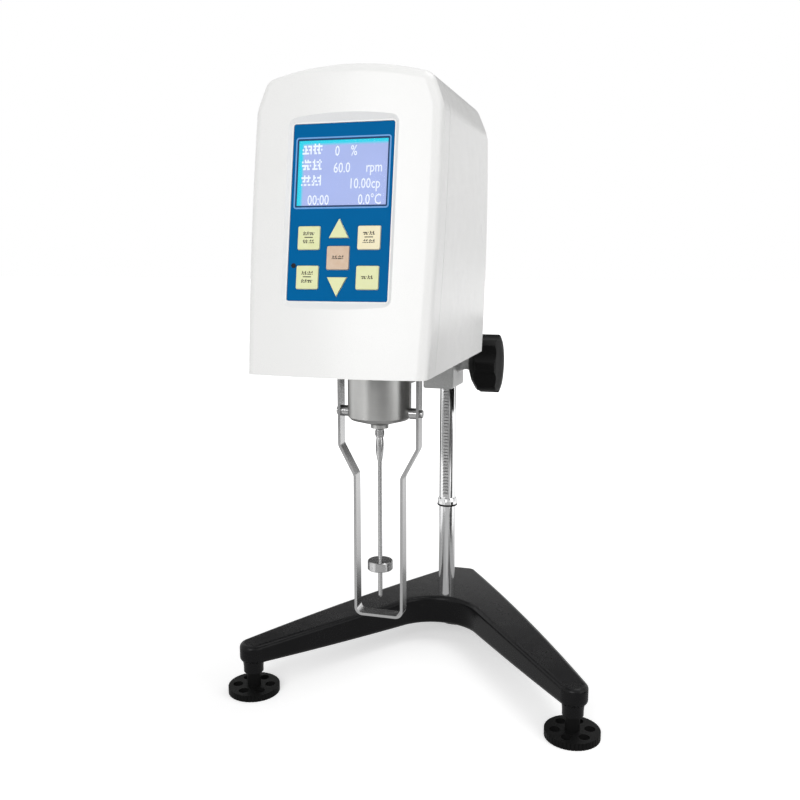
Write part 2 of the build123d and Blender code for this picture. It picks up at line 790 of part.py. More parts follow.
with BuildPart() as power_board:
    with BuildSketch(level(head_floor + 12.0, column_y - 172)):
        Rectangle(96.0, 42.0)
    extrude(amount=1.6)
    for x, y, w, d, h in ((-30, -172, 22, 26, 18), (28, -166, 16, 16, 14)):
        with BuildSketch(level(head_floor + 13.6, column_y + y, x)):
            Rectangle(w, d)
        extrude(amount=h)
    with BuildSketch(level(head_floor + 12.0, column_y - 172)):
        with GridLocations(88.0, 34.0, 2, 2):
            Circle(3.0)
    extrude(amount=-(12.0 - plate_t))
keep(power_board, "power_board")

rocker_x, rocker_y, rocker_lean = 34.0, head_rear_y - 2.0, 8.0
rocker_pin_r, rocker_pin = 0.8, 11.2
with BuildPart() as switch_body:
    with BuildSketch(upright(head_rear_y + 1.6, port_z, rocker_x)):
        RectangleRounded(21.0, 15.0, 1.0)
    extrude(amount=1.6)
    with BuildSketch(upright(head_rear_y, port_z, rocker_x)):
        Rectangle(19.0, 12.8)
    extrude(amount=14.0)
    with BuildSketch(upright(head_rear_y + 1.6, port_z, rocker_x)):
        Rectangle(16.0, 9.6)
    extrude(amount=9.0, mode=Mode.SUBTRACT)
    with Locations((rocker_x, rocker_y, port_z)):
        Cylinder(rocker_pin_r + running, rocker_pin + 0.3, mode=Mode.SUBTRACT)
keep(switch_body, "switch_body")

with BuildPart() as power_rocker:
    # Cut in plan: two flats that meet in a valley over the pivot, tipped to one side.
    tipped = Plane(
        origin=(rocker_x, rocker_y, port_z - 4.6),
        x_dir=(cos(radians(rocker_lean)), sin(radians(rocker_lean)), 0),
        z_dir=(0, 0, 1),
    )
    with BuildSketch(tipped):
        with BuildLine():
            Polyline(
                (-7.4, 3.4), (0, 2.4), (7.4, 3.4), (6.6, -1.5), (0, -3.5), (-6.6, -1.5), close=True
            )
        make_face()
    extrude(amount=9.2)
    with Locations((rocker_x, rocker_y, port_z)):
        Cylinder(rocker_pin_r, rocker_pin)
keep(power_rocker, "power_rocker")

with BuildPart() as power_inlet:
    with BuildSketch(upright(head_rear_y + 2.0, port_z, 12)):
        RegularPolygon(7.2, 6)
        Circle(2.9, mode=Mode.SUBTRACT)
    extrude(amount=2.0)
    with BuildSketch(upright(head_rear_y, port_z, 12)):
        Circle(5.5)
        Circle(2.9, mode=Mode.SUBTRACT)
    extrude(amount=9.0)
    with BuildSketch(upright(head_rear_y - 9.0, port_z, 12)):
        Circle(5.5)
    extrude(amount=4.0)
    with BuildSketch(upright(head_rear_y + 0.5, port_z, 12)):
        Circle(1.0)
    extrude(amount=10.0)
keep(power_inlet, "power_inlet")

with BuildPart() as serial_port:
    with BuildSketch(upright(head_rear_y + 0.9, port_z, -14)):
        RectangleRounded(31.0, 12.6, 1.0)
    extrude(amount=0.9)
    with BuildSketch(upright(head_rear_y + 5.6, port_z, -14)):
        Trapezoid(18.0, 9.0, 80)
    extrude(amount=16.0)
    with BuildSketch(upright(head_rear_y + 5.6, port_z, -14)):
        with Locations(*[(2.74 * (n - 2), 1.4) for n in range(5)]):
            Circle(0.55)
        with Locations(*[(2.74 * (n - 1.5), -1.4) for n in range(4)]):
            Circle(0.55)
    extrude(amount=5.0, mode=Mode.SUBTRACT)
    with BuildSketch(upright(head_rear_y + 5.6, port_z)):
        with Locations((-26.5, 0), (-1.5, 0)):
            RegularPolygon(2.6, 6)
    extrude(amount=4.8)
keep(serial_port, "serial_port")

with BuildPart() as probe_socket:
    with BuildSketch(upright(head_rear_y + 1.8, port_z, -38)):
        Circle(7.0)
        Circle(2.0, mode=Mode.SUBTRACT)
    extrude(amount=1.8)
    with BuildSketch(upright(head_rear_y, port_z, -38)):
        Circle(5.5)
        Circle(2.0, mode=Mode.SUBTRACT)
    extrude(amount=12.0)
keep(probe_socket, "probe_socket")

# ---- Measuring drive -------------------------------------------------------

with BuildPart() as spindle_boss:
    with BuildSketch(upright(spindle_y)):
        with BuildLine():
            Polyline(
                (5.0, collar_tip_z),
                (collar_tip_r, collar_tip_z),
                (collar_tip_r, collar_tip_z + 2.6),
                (boss_r - 2.0, boss_floor - 0.6),
                (boss_r, boss_floor + 1.6),
                (boss_r, head_floor),
                (18.5, head_floor),
                (18.5, boss_floor + 4.0),
                (5.0, boss_floor + 1.0),
                close=True,
            )
        make_face()
    revolve(axis=Axis((0, spindle_y, 0), (0, 0, 1)))
    # Tapped holes for the guard's screws.
    with BuildSketch(lengthwise(0, spindle_y, 270.0)):
        Circle(1.5)
    extrude(amount=40, both=True, mode=Mode.SUBTRACT)
keep(spindle_boss, "spindle_boss")

shaft_tip_r = 2.0
jewel = tube(spindle_y, collar_tip_z + 0.4, boss_floor + 1.0, 5.0, shaft_tip_r + running)
keep(jewel, "pivot_bearing")

spindle_shaft = turned(
    [
        (0, 253.0),
        (1.4, 253.0),
        (1.4, 257.8),
        (shaft_tip_r, 257.8),
        (shaft_tip_r, torque_disc_z + 6.0),
        (1.5, torque_disc_z + 6.0),
        (1.5, drive_disc_z + 8.0),
        (0.6, drive_disc_z + 9.0),
        (0, drive_disc_z + 9.0),
    ],
    spindle_y,
)
keep(spindle_shaft, "spindle_shaft")


def slotted_disc(z, bore):
    """Thin disc on a hub, with slots near its rim for the light gates."""
    with BuildPart() as disc:
        with BuildSketch(level(z, spindle_y)):
            Circle(17.0)
            with PolarLocations(14.0, 8):
                Rectangle(3.0, 1.6, mode=Mode.SUBTRACT)
            Circle(bore, mode=Mode.SUBTRACT)
        extrude(amount=1.2)
        with BuildSketch(level(z + 1.2, spindle_y)):
            Circle(4.0)
            Circle(bore, mode=Mode.SUBTRACT)
        extrude(amount=3.0)
    return disc


keep(slotted_disc(torque_disc_z, shaft_tip_r), "torque_disc")
keep(slotted_disc(drive_disc_z, 3.2), "drive_disc")

with BuildPart() as torsion_spring:
    # Flat spiral between the torque disc's hub and the drive disc.
    turns, coil_gap, coil_start = 3, 2.4, 4.4
    with BuildSketch(level(torque_disc_z + 6.4, spindle_y)):
        with BuildLine() as coil:
            radius, side = coil_start, 1
            x_from = coil_start
            for half_turn in range(2 * turns):
                x_to = x_from - side * (2 * radius + coil_gap / 2)
                middle = ((x_from + x_to) / 2, side * (abs(x_from - x_to) / 2))
                ThreePointArc((x_from, 0), middle, (x_to, 0))
                radius, side, x_from = radius + coil_gap / 2, -side, x_to
        trace(line_width=0.5)
    extrude(amount=2.0)
keep(torsion_spring, "torsion_spring")

drive_hub = turned(
    [
        (1.5 + running, drive_disc_z - 1.0),
        (3.2, drive_disc_z - 1.0),
        (3.2, drive_disc_z + 4.2),
        (6.0, drive_disc_z + 4.2),
        (6.0, motor_plate_z - 5.0),
        (0, motor_plate_z - 5.0),
        (0, drive_disc_z + 11.0),
        (1.5 + running, drive_disc_z + 11.0),
    ],
    spindle_y,
)
keep(drive_hub, "drive_hub")

motor_side = 42.3
with BuildPart() as motor_shaft:
    with BuildSketch(level(motor_plate_z - 5.0, spindle_y)):
        Circle(2.5)
    extrude(amount=38.0)
keep(motor_shaft, "motor_shaft")

with BuildPart() as motor_body:
    with BuildSketch(level(motor_plate_z + 3.0, spindle_y)):
        RectangleRounded(motor_side, motor_side, 5.0)
    extrude(amount=40.0)
    with BuildSketch(level(motor_plate_z + 3.0, spindle_y)):
        Circle(11.0)
    extrude(amount=-2.0)
    with BuildSketch(level(motor_plate_z + 1.0, spindle_y)):
        Circle(2.5 + running)
    extrude(amount=34.0, mode=Mode.SUBTRACT)
keep(motor_body, "motor_body")

pillar_x, pillar_y = 30.0, 26.0
with BuildPart() as motor_plate:
    with BuildSketch(level(motor_plate_z, spindle_y)):
        RectangleRounded(2 * pillar_x + 10, 2 * pillar_y + 10, 4.0)
        Circle(11.1, mode=Mode.SUBTRACT)
        with GridLocations(31.0, 31.0, 2, 2):
            Circle(1.6, mode=Mode.SUBTRACT)
    extrude(amount=3.0)
keep(motor_plate, "motor_plate")

with BuildPart() as plate_pillars:
    with BuildSketch(level(head_floor + plate_t, spindle_y)):
        with GridLocations(2 * pillar_x, 2 * pillar_y, 2, 2):
            RegularPolygon(4.0, 6)
    extrude(amount=motor_plate_z - head_floor - plate_t)
keep(plate_pillars, "plate_pillars")

gate_y = 17.0  # light gates straddle the discs' rims at the back
with BuildPart() as sensor_board:
    with BuildSketch(level(head_floor + plate_t, spindle_y + gate_y + 4.0)):
        Rectangle(26.0, 1.6)
    extrude(amount=40.0)
    for z in (torque_disc_z, drive_disc_z):
        with BuildSketch(level(z - 3.4, spindle_y + gate_y - 0.4)):
            Rectangle(6.0, 7.4)
        extrude(amount=8.0)
        with BuildSketch(level(z - 1.4, spindle_y + gate_y - 2.4)):
            Rectangle(8.0, 6.4)
        extrude(amount=4.0, mode=Mode.SUBTRACT)
keep(sensor_board, "sensor_board")

# ---- Spindle and guard -----------------------------------------------------

with BuildPart() as coupling_nut:
    with BuildSketch(level(251.8, spindle_y)):
        Circle(3.1)
        Circle(1.4, mode=Mode.SUBTRACT)
    extrude(amount=5.8)
    with BuildSketch(level(253.6, spindle_y)):
        with PolarLocations(3.3, 10):
            Circle(0.45)
    extrude(amount=3.0, mode=Mode.SUBTRACT)
keep(coupling_nut, "coupling_nut")

with BuildPart() as spindle:
    with BuildSketch(upright(spindle_y)):
        with BuildLine():
            Line((0, 251.8), (2.4, 251.8))
            ThreePointArc((2.4, 251.8), (3.0, 244.0), (1.6, 233.5))
            Polyline(
                (1.6, 233.5),
                (1.6, rotor_z + rotor_t),
                (rotor_r - 0.5, rotor_z + rotor_t),
                (rotor_r, rotor_z + rotor_t - 0.5),
                (rotor_r, rotor_z + 0.5),
                (rotor_r - 0.5, rotor_z),
                (1.6, rotor_z),
                (1.6, rotor_tip_z + 1.5),
                (0.6, rotor_tip_z),
                (0, rotor_tip_z),
                (0, 251.8),
            )
        make_face()
    revolve(axis=Axis((0, spindle_y, 0), (0, 0, 1)))
keep(spindle, "spindle")

with BuildPart() as guard:
    with BuildSketch(upright(spindle_y + guard_w / 2)):
        with BuildLine():
            floor_line = guard_floor + guard_t / 2
            FilletPolyline(
                (-guard_half_top, head_floor - 0.2),
                (-guard_half_top, guard_bend_top),
                (-guard_half_low, guard_bend_low),
                (-guard_half_low, floor_line),
                (guard_half_low, floor_line),
                (guard_half_low, guard_bend_low),
                (guard_half_top, guard_bend_top),
                (guard_half_top, head_floor - 0.2),
                radius=5.0,
            )
        trace(line_width=guard_t)
    extrude(amount=guard_w)
    # Spacers that stand the legs off the boss.
    with BuildSketch(lengthwise(boss_r - 0.6, spindle_y, 270.0)):
        Circle(4.0)
    extrude(amount=guard_half_top - guard_t / 2 - boss_r + 0.6)
    mirror(about=Plane.YZ)
    with Locations((0, spindle_y, 270.0)):
        Cylinder(boss_r, 20, mode=Mode.SUBTRACT)
    with BuildSketch(lengthwise(0, spindle_y, 270.0)):
        Circle(1.6)
    extrude(amount=40, both=True, mode=Mode.SUBTRACT)
keep(guard, "guard")

with BuildPart() as guard_screws:
    head_x = guard_half_top + guard_t / 2
    with BuildSketch(lengthwise(head_x, spindle_y, 270.0)):
        Circle(2.8)
    extrude(amount=1.8)
    with BuildSketch(lengthwise(head_x, spindle_y, 270.0)):
        Circle(1.5)
    extrude(amount=-12.0)
    with BuildSketch(lengthwise(head_x + 0.9, spindle_y, 270.0)):
        Rectangle(0.8, 6.0)
    extrude(amount=2.0, mode=Mode.SUBTRACT)
    mirror(about=Plane.YZ)
keep(guard_screws, "guard_screws")
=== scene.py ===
import json
import math

import bmesh
import bpy
from mathutils import Matrix, Vector


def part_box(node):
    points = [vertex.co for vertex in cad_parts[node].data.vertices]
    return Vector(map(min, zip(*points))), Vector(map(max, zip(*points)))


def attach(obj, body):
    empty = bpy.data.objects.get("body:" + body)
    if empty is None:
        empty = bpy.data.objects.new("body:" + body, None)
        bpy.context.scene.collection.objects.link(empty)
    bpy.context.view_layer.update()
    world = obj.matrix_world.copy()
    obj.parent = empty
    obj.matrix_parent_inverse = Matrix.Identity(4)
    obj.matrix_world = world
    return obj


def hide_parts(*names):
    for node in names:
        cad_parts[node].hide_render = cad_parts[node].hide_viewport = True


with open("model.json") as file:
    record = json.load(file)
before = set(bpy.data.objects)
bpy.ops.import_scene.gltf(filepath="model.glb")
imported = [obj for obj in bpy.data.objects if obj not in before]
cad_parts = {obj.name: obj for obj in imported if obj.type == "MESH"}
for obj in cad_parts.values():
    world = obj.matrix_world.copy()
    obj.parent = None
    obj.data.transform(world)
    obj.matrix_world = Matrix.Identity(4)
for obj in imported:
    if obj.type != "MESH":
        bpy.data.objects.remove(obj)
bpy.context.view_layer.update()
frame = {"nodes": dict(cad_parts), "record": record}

bl_info = {
    "name": "Rotational viscometer",
    "version": (1, 0, 0),
    "blender": (4, 5, 0),
    "location": "View3D > Sidebar > Viscometer",
    "description": "Builds the visible pieces, finishes and studio of a bench viscometer",
    "category": "Object",
}

MM = 0.001
MERGE = 1e-6  # vertices nearer than this, in metres, become one
PRINT_GAP = 0.02  # what is printed stands this far off, in millimetres

nodes = frame["nodes"]

# The leaning display panel's own directions.
TILT = math.radians(9.6)
ACROSS = Vector((1, 0, 0))
UP_PANEL = Vector((0, math.sin(TILT), math.cos(TILT)))
OUT_PANEL = Vector((0, -math.cos(TILT), math.sin(TILT)))
PANEL_TURN = (math.pi / 2 - TILT, 0, 0)

REARWARD = Vector((0, 1, 0))
REAR_TURN = (math.pi / 2, 0, math.pi)
DOWNWARD = Vector((0, 0, -1))
UNDERSIDE_TURN = (math.pi, 0, 0)


def middle(node):
    """Middle of a CAD node's box."""
    low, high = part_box(node)
    return (low + high) / 2


def reach(node, direction):
    """How far a CAD node goes in a direction from the frame's origin."""
    part = nodes[node]
    return max((part.matrix_world @ corner.co).dot(direction) for corner in part.data.vertices)


def on_panel(node, across=0.0, up=0.0, out=0.0):
    """A place on the front of a panel node, in millimetres from its middle."""
    centre = middle(node)
    depth = reach(node, OUT_PANEL) - centre.dot(OUT_PANEL)
    return centre + ACROSS * across * MM + UP_PANEL * up * MM + OUT_PANEL * (depth + out * MM)


# ---- Shader maths ----------------------------------------------------------

# Sockets of a Mix node that mixes colours, which share their names with others.
MIX_FACTOR, MIX_FIRST, MIX_SECOND, MIX_RESULT = 0, 6, 7, 2


class Socket:
    """An output socket that Python's operators work on."""

    def __init__(self, owner, output):
        self.owner = owner
        self.output = output

    def math(self, operation, *values, clamp=False):
        """A Math node on these values."""
        sockets = dict(enumerate(values))
        return self.owner.node(
            "ShaderNodeMath", sockets, operation=operation, use_clamp=clamp
        )

    def __add__(self, other):
        return self.math("ADD", self, other)

    def __sub__(self, other):
        return self.math("SUBTRACT", self, other)

    def __rsub__(self, other):
        return self.math("SUBTRACT", other, self)

    def __mul__(self, other):
        return self.math("MULTIPLY", self, other)

    def __pow__(self, other):
        return self.math("POWER", self, other)

    __radd__ = __add__
    __rmul__ = __mul__

    def above(self, edge, softness):
        """0 below edge and 1 above it, with a ramp of width softness."""
        return self.math("DIVIDE", self - (edge - softness / 2), softness, clamp=True)

    def split(self):
        """The three numbers of a vector."""
        parts = self.owner.add("ShaderNodeSeparateXYZ", {0: self})
        return [Socket(self.owner, out) for out in parts.outputs]


class Nodes:
    """The node tree of a material or of the world."""

    def __init__(self, tree):
        self.tree = tree

    def plug(self, socket, value):
        """Sets a socket, or links it to another."""
        if isinstance(value, Socket):
            self.tree.links.new(value.output, socket)
        elif socket.type == "RGBA":
            socket.default_value = tuple(value)[:3] + (1,)
        else:
            socket.default_value = value

    def add(self, kind, sockets=None, **settings):
        """Any node: its settings first, then the values or links of its sockets."""
        node = self.tree.nodes.new(kind)
        for name, value in settings.items():
            setattr(node, name, value)
        for name, value in (sockets or {}).items():
            self.plug(node.inputs[name], value)
        return node

    def node(self, kind, sockets=None, output=0, **settings):
        """The same, giving one of its outputs."""
        made = self.add(kind, sockets, **settings)
        return Socket(self, made.outputs[output])

    def blend(self, factor, first, second):
        """A colour between two others."""
        sockets = {MIX_FACTOR: factor, MIX_FIRST: first, MIX_SECOND: second}
        return self.node("ShaderNodeMix", sockets, MIX_RESULT, data_type="RGBA")

    def seen(self):
        """1 for what the camera sees, straight, mirrored or through a window."""
        path = self.add("ShaderNodeLightPath")
        rays = ("Is Camera Ray", "Is Glossy Ray", "Is Transmission Ray")
        camera, glossy, through = (Socket(self, path.outputs[ray]) for ray in rays)
        return camera + glossy + through


class Finish(Nodes):
    """A material, its Principled shader and the nodes that feed it."""

    def __init__(self, name, **constants):
        self.material = bpy.data.materials.new(name)
        self.material.use_nodes = True
        super().__init__(self.material.node_tree)
        self.shader = self.tree.nodes["Principled BSDF"]
        for socket, value in constants.items():
            self.set(socket.replace("_", " "), value)

    def set(self, name, value):
        """Sets or links one of the shader's own sockets."""
        self.plug(self.shader.inputs[name], value)

    def place(self, at=(0, 0, 0), turn=(0, 0, 0), stretch=(1, 1, 1)):
        """Object coordinates, in millimetres from at, turned and stretched."""
        here = self.node("ShaderNodeTexCoord", output="Object")
        moved = self.node(
            "ShaderNodeMapping",
            {"Vector": here, "Location": at, "Rotation": turn},
            vector_type="TEXTURE",
        )
        scale = [share / MM for share in stretch]
        return self.node("ShaderNodeMapping", {"Vector": moved, "Scale": scale})

    def noise(self, where, per_mm, detail=3.0, rough=0.5):
        """Noise from 0 to 1 with per_mm features in a millimetre."""
        sockets = {"Vector": where, "Scale": per_mm, "Detail": detail, "Roughness": rough}
        return self.node("ShaderNodeTexNoise", sockets)

    def bump(self, height, depth_mm, strength=1.0):
        """Relief on the shader's normal."""
        sockets = {"Height": height, "Distance": depth_mm * MM, "Strength": strength}
        self.set("Normal", self.node("ShaderNodeBump", sockets))


# ---- Finishes --------------------------------------------------------------


def shaded(colour, share):
    """A colour made darker or lighter."""
    return tuple(level * share for level in colour)


def grey(level):
    """A neutral colour."""
    return (level, level, level)


def moulded(name, colour, shade, roughness, grain, depth, specular=0.13):
    """Plastic with a mould texture and a faint unevenness of colour and gloss."""
    finish = Finish(name, Specular_IOR_Level=specular)
    here = finish.place()
    cloudy = finish.noise(here, 0.02, 4)
    finish.set("Base Color", finish.blend(cloudy, colour, shade))
    fine = finish.noise(here, grain, 2)
    finish.set("Roughness", cloudy * 0.08 + fine * 0.06 + (roughness - 0.07))
    finish.bump(fine, depth)
    return finish.material


def metal(name, colour, shade, roughness, stretch, per_mm, depth):
    """Metal with fine tool marks drawn out across the stretched direction."""
    finish = Finish(name, Metallic=1.0, Specular_Tint=grey(0.5))
    here = finish.place(stretch=stretch)
    marks = finish.noise(here, per_mm, 5, 0.65)
    cloudy = finish.noise(finish.place(), 0.06, 3)
    finish.set("Base Color", finish.blend(marks * 0.6 + cloudy * 0.4, shade, colour))
    finish.set("Roughness", marks * 0.12 + cloudy * 0.1 + (roughness - 0.11))
    finish.bump(marks, depth)
    return finish.material


def white_housing(colour):
    """Glossy white moulding with a slight orange peel."""
    finish = Finish("white housing", Specular_IOR_Level=0.4, IOR=1.5)
    here = finish.place()
    cloudy = finish.noise(here, 0.012, 3)
    finish.set("Base Color", finish.blend(cloudy, shaded(colour, 0.96), colour))
    peel = finish.noise(here, 0.5, 2)
    finish.set("Roughness", cloudy * 0.08 + finish.noise(here, 3.0, 2) * 0.06 + 0.2)
    finish.bump(peel, 0.02, 0.5)
    return finish.material


def black_enamel():
    """Glossy stoved enamel that follows the casting's slight waves."""
    finish = Finish("black enamel", Specular_IOR_Level=0.15, IOR=1.5)
    here = finish.place()
    cloudy = finish.noise(here, 0.03, 4)
    black, worn = (0.004, 0.004, 0.0045), (0.009, 0.009, 0.0095)
    finish.set("Base Color", finish.blend(cloudy, black, worn))
    peel = finish.noise(here, 0.9, 3)
    waves = finish.noise(here, 0.09, 2)
    finish.set("Roughness", peel * 0.12 + cloudy * 0.08 + 0.16)
    finish.bump(peel * 0.6 + waves, 0.12, 0.6)
    return finish.material


def hammer_paint():
    """Grey paint that has pulled into shallow cells."""
    finish = Finish("hammer paint", Coat_Weight=0.3, Coat_Roughness=0.2, Metallic=0.15)
    here = finish.place()
    sockets = {"Vector": here, "Scale": 0.8}
    cells = finish.node("ShaderNodeTexVoronoi", sockets, output="Distance")
    tone = cells * 0.7 + finish.noise(here, 0.1, 4) * 0.3
    hollows, crests = (0.34, 0.345, 0.34), (0.52, 0.525, 0.52)
    finish.set("Base Color", finish.blend(tone, hollows, crests))
    finish.set("Roughness", cells * 0.2 + 0.28)
    finish.bump(cells, 0.12, 0.7)
    return finish.material


def chrome():
    """Bright plate with a few wiped streaks along the column."""
    finish = Finish("chrome plate", Metallic=1.0, Specular_Tint=grey(0.55))
    here = finish.place(stretch=(1, 1, 0.04))
    streaks = finish.noise(here, 0.7, 4)
    spots = finish.noise(finish.place(), 1.3, 4)
    finish.set("Base Color", finish.blend(streaks, (0.66, 0.665, 0.67), grey(0.8)))
    finish.set("Roughness", streaks * 0.1 + spots.above(0.62, 0.1) * 0.08 + 0.06)
    finish.bump(streaks, 0.004, 0.3)
    return finish.material


def spun_aluminium():
    """Turned sleeve: rings round the spindle's axis, grooves a few tenths apart."""
    finish = Finish("spun aluminium", Metallic=1.0, Specular_Tint=grey(0.4))
    rings = finish.noise(finish.place(stretch=(0.02, 0.02, 1)), 3.2, 4, 0.7)
    cloudy = finish.noise(finish.place(), 0.08, 3)
    grooves, lands = (0.4, 0.4, 0.39), (0.58, 0.58, 0.57)
    finish.set("Base Color", finish.blend(rings * 0.5 + cloudy * 0.5, grooves, lands))
    finish.set("Roughness", rings * 0.14 + cloudy * 0.08 + 0.22)
    finish.bump(rings, 0.015, 0.6)
    return finish.material


def printed_overlay(colour):
    """Blue printed film with a fine satin grain."""
    finish = Finish("printed overlay", Specular_IOR_Level=0.02)
    here = finish.place()
    cloudy = finish.noise(here, 0.05, 4)
    finish.set("Base Color", finish.blend(cloudy, colour, shaded(colour, 1.11)))
    grain = finish.noise(here, 5.0, 2)
    finish.set("Roughness", grain * 0.15 + 0.33)
    finish.bump(grain, 0.012, 0.6)
    return finish.material


def key_film(name, colour):
    """Printed key: paler patches at random and a satin grain."""
    finish = Finish(name, Specular_IOR_Level=0.2)
    here = finish.place()
    cloudy = finish.noise(here, 0.3, 4)
    pale = [level + (1 - level) * 0.25 for level in colour]
    finish.set("Base Color", finish.blend(cloudy, colour, pale))
    grain = finish.noise(here, 5.0, 2)
    finish.set("Roughness", grain * 0.15 + 0.38)
    finish.bump(grain, 0.012, 0.6)
    return finish.material


def lit_display(colour):
    """Backlit display: lavender blue, cyan along its top and left edges."""
    left_edge, top_edge, fade, cyan = -26.2, 17.9, 1.8, (0.0, 0.68, 0.85)
    finish = Finish("lit display", Roughness=0.4, Specular_IOR_Level=0.05, Emission_Strength=0.95)
    across, up, _ = finish.place(at=middle("display_window"), turn=PANEL_TURN).split()
    field = across.above(left_edge, fade) * (1 - up.above(top_edge, fade))
    cells = finish.noise(finish.place(), 0.05, 2)
    lit = finish.blend(cells, shaded(colour, 0.86), colour)
    finish.set("Base Color", (0.005, 0.02, 0.06))
    finish.set("Emission Color", finish.blend(field, cyan, lit))
    return finish.material


def ink(name, colour):
    """Matt print, a little uneven."""
    finish = Finish(name, Specular_IOR_Level=0.2)
    patches = finish.noise(finish.place(), 1.5, 3)
    pale = [level * 0.9 + 0.02 for level in colour]
    finish.set("Base Color", finish.blend(patches, colour, pale))
    finish.set("Roughness", patches * 0.1 + 0.5)
    return finish.material


def glow(name, colour, strength):
    """Figures that the display lights up."""
    finish = Finish(name, Roughness=0.6, Emission_Strength=strength)
    patches = finish.noise(finish.place(), 0.4, 2)
    finish.set("Base Color", (0.2, 0.22, 0.25))
    finish.set("Emission Color", finish.blend(patches, colour, shaded(colour, 0.9)))
    return finish.material


def clear_window():
    """Thin clear window with a light smear."""
    finish = Finish("clear window", IOR=1.49)
    smear = finish.noise(finish.place(), 0.08, 4)
    finish.set("Base Color", (0.9, 0.94, 1.0))
    finish.set("Roughness", smear * 0.1 + 0.03)
    finish.set("Alpha", smear * 0.02 + 0.015)
    return finish.material


def circuit_board():
    """Green lacquer over copper tracks."""
    finish = Finish("circuit board", Roughness=0.35)
    sockets = {"Vector": finish.place(), "Scale": 0.35}
    blocks = finish.node("ShaderNodeTexVoronoi", sockets, distance="MANHATTAN")
    tracks = blocks.above(0.5, 0.1)
    finish.set("Base Color", finish.blend(tracks, (0.01, 0.16, 0.06), (0.03, 0.28, 0.1)))
    finish.bump(tracks, 0.04, 0.5)
    return finish.material


def laminations():
    """Motor body: plates of half a millimetre in a stack."""
    plate = 0.5
    finish = Finish("laminated motor", Metallic=0.9)
    _, _, height = finish.place().split()
    edge = height.math("SINE", height * (math.tau / plate))
    dark, bright = (0.1, 0.1, 0.11), (0.24, 0.24, 0.25)
    finish.set("Base Color", finish.blend(edge * 0.5 + 0.5, dark, bright))
    finish.set("Roughness", edge * 0.08 + 0.42)
    finish.bump(edge, 0.05, 0.6)
    return finish.material


# How tool marks are drawn out on a metal: not at all, round the upright axis, along it, across.
EVEN, ROUND_Z, ALONG_Z, ALONG_X = (1, 1, 1), (0.03, 0.03, 1), (1, 1, 0.03), (0.03, 1, 1)


def slot_materials(colours):
    """One finish for each material slot of the record."""
    zinc, bronze, old_bronze = (0.66, 0.66, 0.62), (0.62, 0.42, 0.2), (0.4, 0.26, 0.12)
    nylon, old_nylon = (0.82, 0.8, 0.72), (0.75, 0.73, 0.65)
    ruby, dark_ruby = (0.45, 0.01, 0.04), (0.3, 0.0, 0.02)
    blued, dark_blued = (0.2, 0.24, 0.42), (0.12, 0.13, 0.3)
    return {
        "black_casting": black_enamel(),
        "chrome": chrome(),
        "rack_steel": metal("cut steel", grey(0.72), grey(0.5), 0.34, ALONG_X, 2.0, 0.02),
        "zinc_fasteners": metal("zinc plate", zinc, grey(0.45), 0.34, EVEN, 1.5, 0.01),
        "guard_steel": metal("polished strip", grey(0.66), grey(0.48), 0.2, ALONG_Z, 1.6, 0.005),
        "spindle_steel": metal("turned steel", grey(0.6), grey(0.44), 0.26, ROUND_Z, 2.4, 0.006),
        "boss_metal": spun_aluminium(),
        "carriage_grey": hammer_paint(),
        "floor_plate_metal": metal("milled plate", grey(0.55), grey(0.42), 0.36, ALONG_X, 1.2, 0.01),
        "black_plastic": moulded("black plastic", grey(0.005), grey(0.009), 0.42, 2.2, 0.03, 0.07),
        "foot_stud_steel": metal("threaded rod", grey(0.5), grey(0.3), 0.36, ROUND_Z, 1.5, 0.02),
        "black_rubber": moulded("black rubber", grey(0.01), grey(0.018), 0.62, 1.8, 0.03),
        "bronze": metal("sintered bronze", bronze, old_bronze, 0.45, EVEN, 3.0, 0.02),
        "nylon": moulded("natural nylon", nylon, old_nylon, 0.42, 1.2, 0.01),
        "white_shell": white_housing(colours.housing),
        "panel_blue": printed_overlay(colours.overlay),
        "key_yellow": key_film("yellow key", colours.yellow_key),
        "key_peach": key_film("peach key", colours.peach_key),
        "key_salmon": key_film("salmon key", colours.salmon_key),
        "window_clear": clear_window(),
        "display_face": lit_display(colours.display),
        "circuit_green": circuit_board(),
        "port_metal": metal("nickel shell", grey(0.6), grey(0.48), 0.28, EVEN, 1.6, 0.01),
        "motor_case": laminations(),
        "pillar_aluminium": metal("turned aluminium", grey(0.6), grey(0.48), 0.3, ROUND_Z, 2.5, 0.008),
        "jewel": moulded("ruby jewel", ruby, dark_ruby, 0.15, 0.5, 0.002),
        "spring_steel": metal("blued spring", blued, dark_blued, 0.28, EVEN, 1.4, 0.004),
    }


# ---- Studio ----------------------------------------------------------------

CAMERA_AT = Vector((0.1857, -0.70017, 0.3796))
CAMERA_TURN = (math.radians(90 - 9.13), 0, math.radians(15.88))
CAMERA_LENS = 39.50
FLOOR_SIZE = 30
# The floor's own white is half at the object and full away from it, so that a shadow shows only
# near the object: the middle of the change and its width, in millimetres, and the level within.
WHITE_FROM, WHITE_FADE, WHITE_NEAR = 520.0, 500.0, 0.5
LAMPS_AIM = Vector((0, 0, 0.3))

FLAT, UPRIGHT, SIDEWAYS = (0, 0, 0), (math.pi / 2, 0, 0), (math.pi / 2, 0, math.pi / 2)
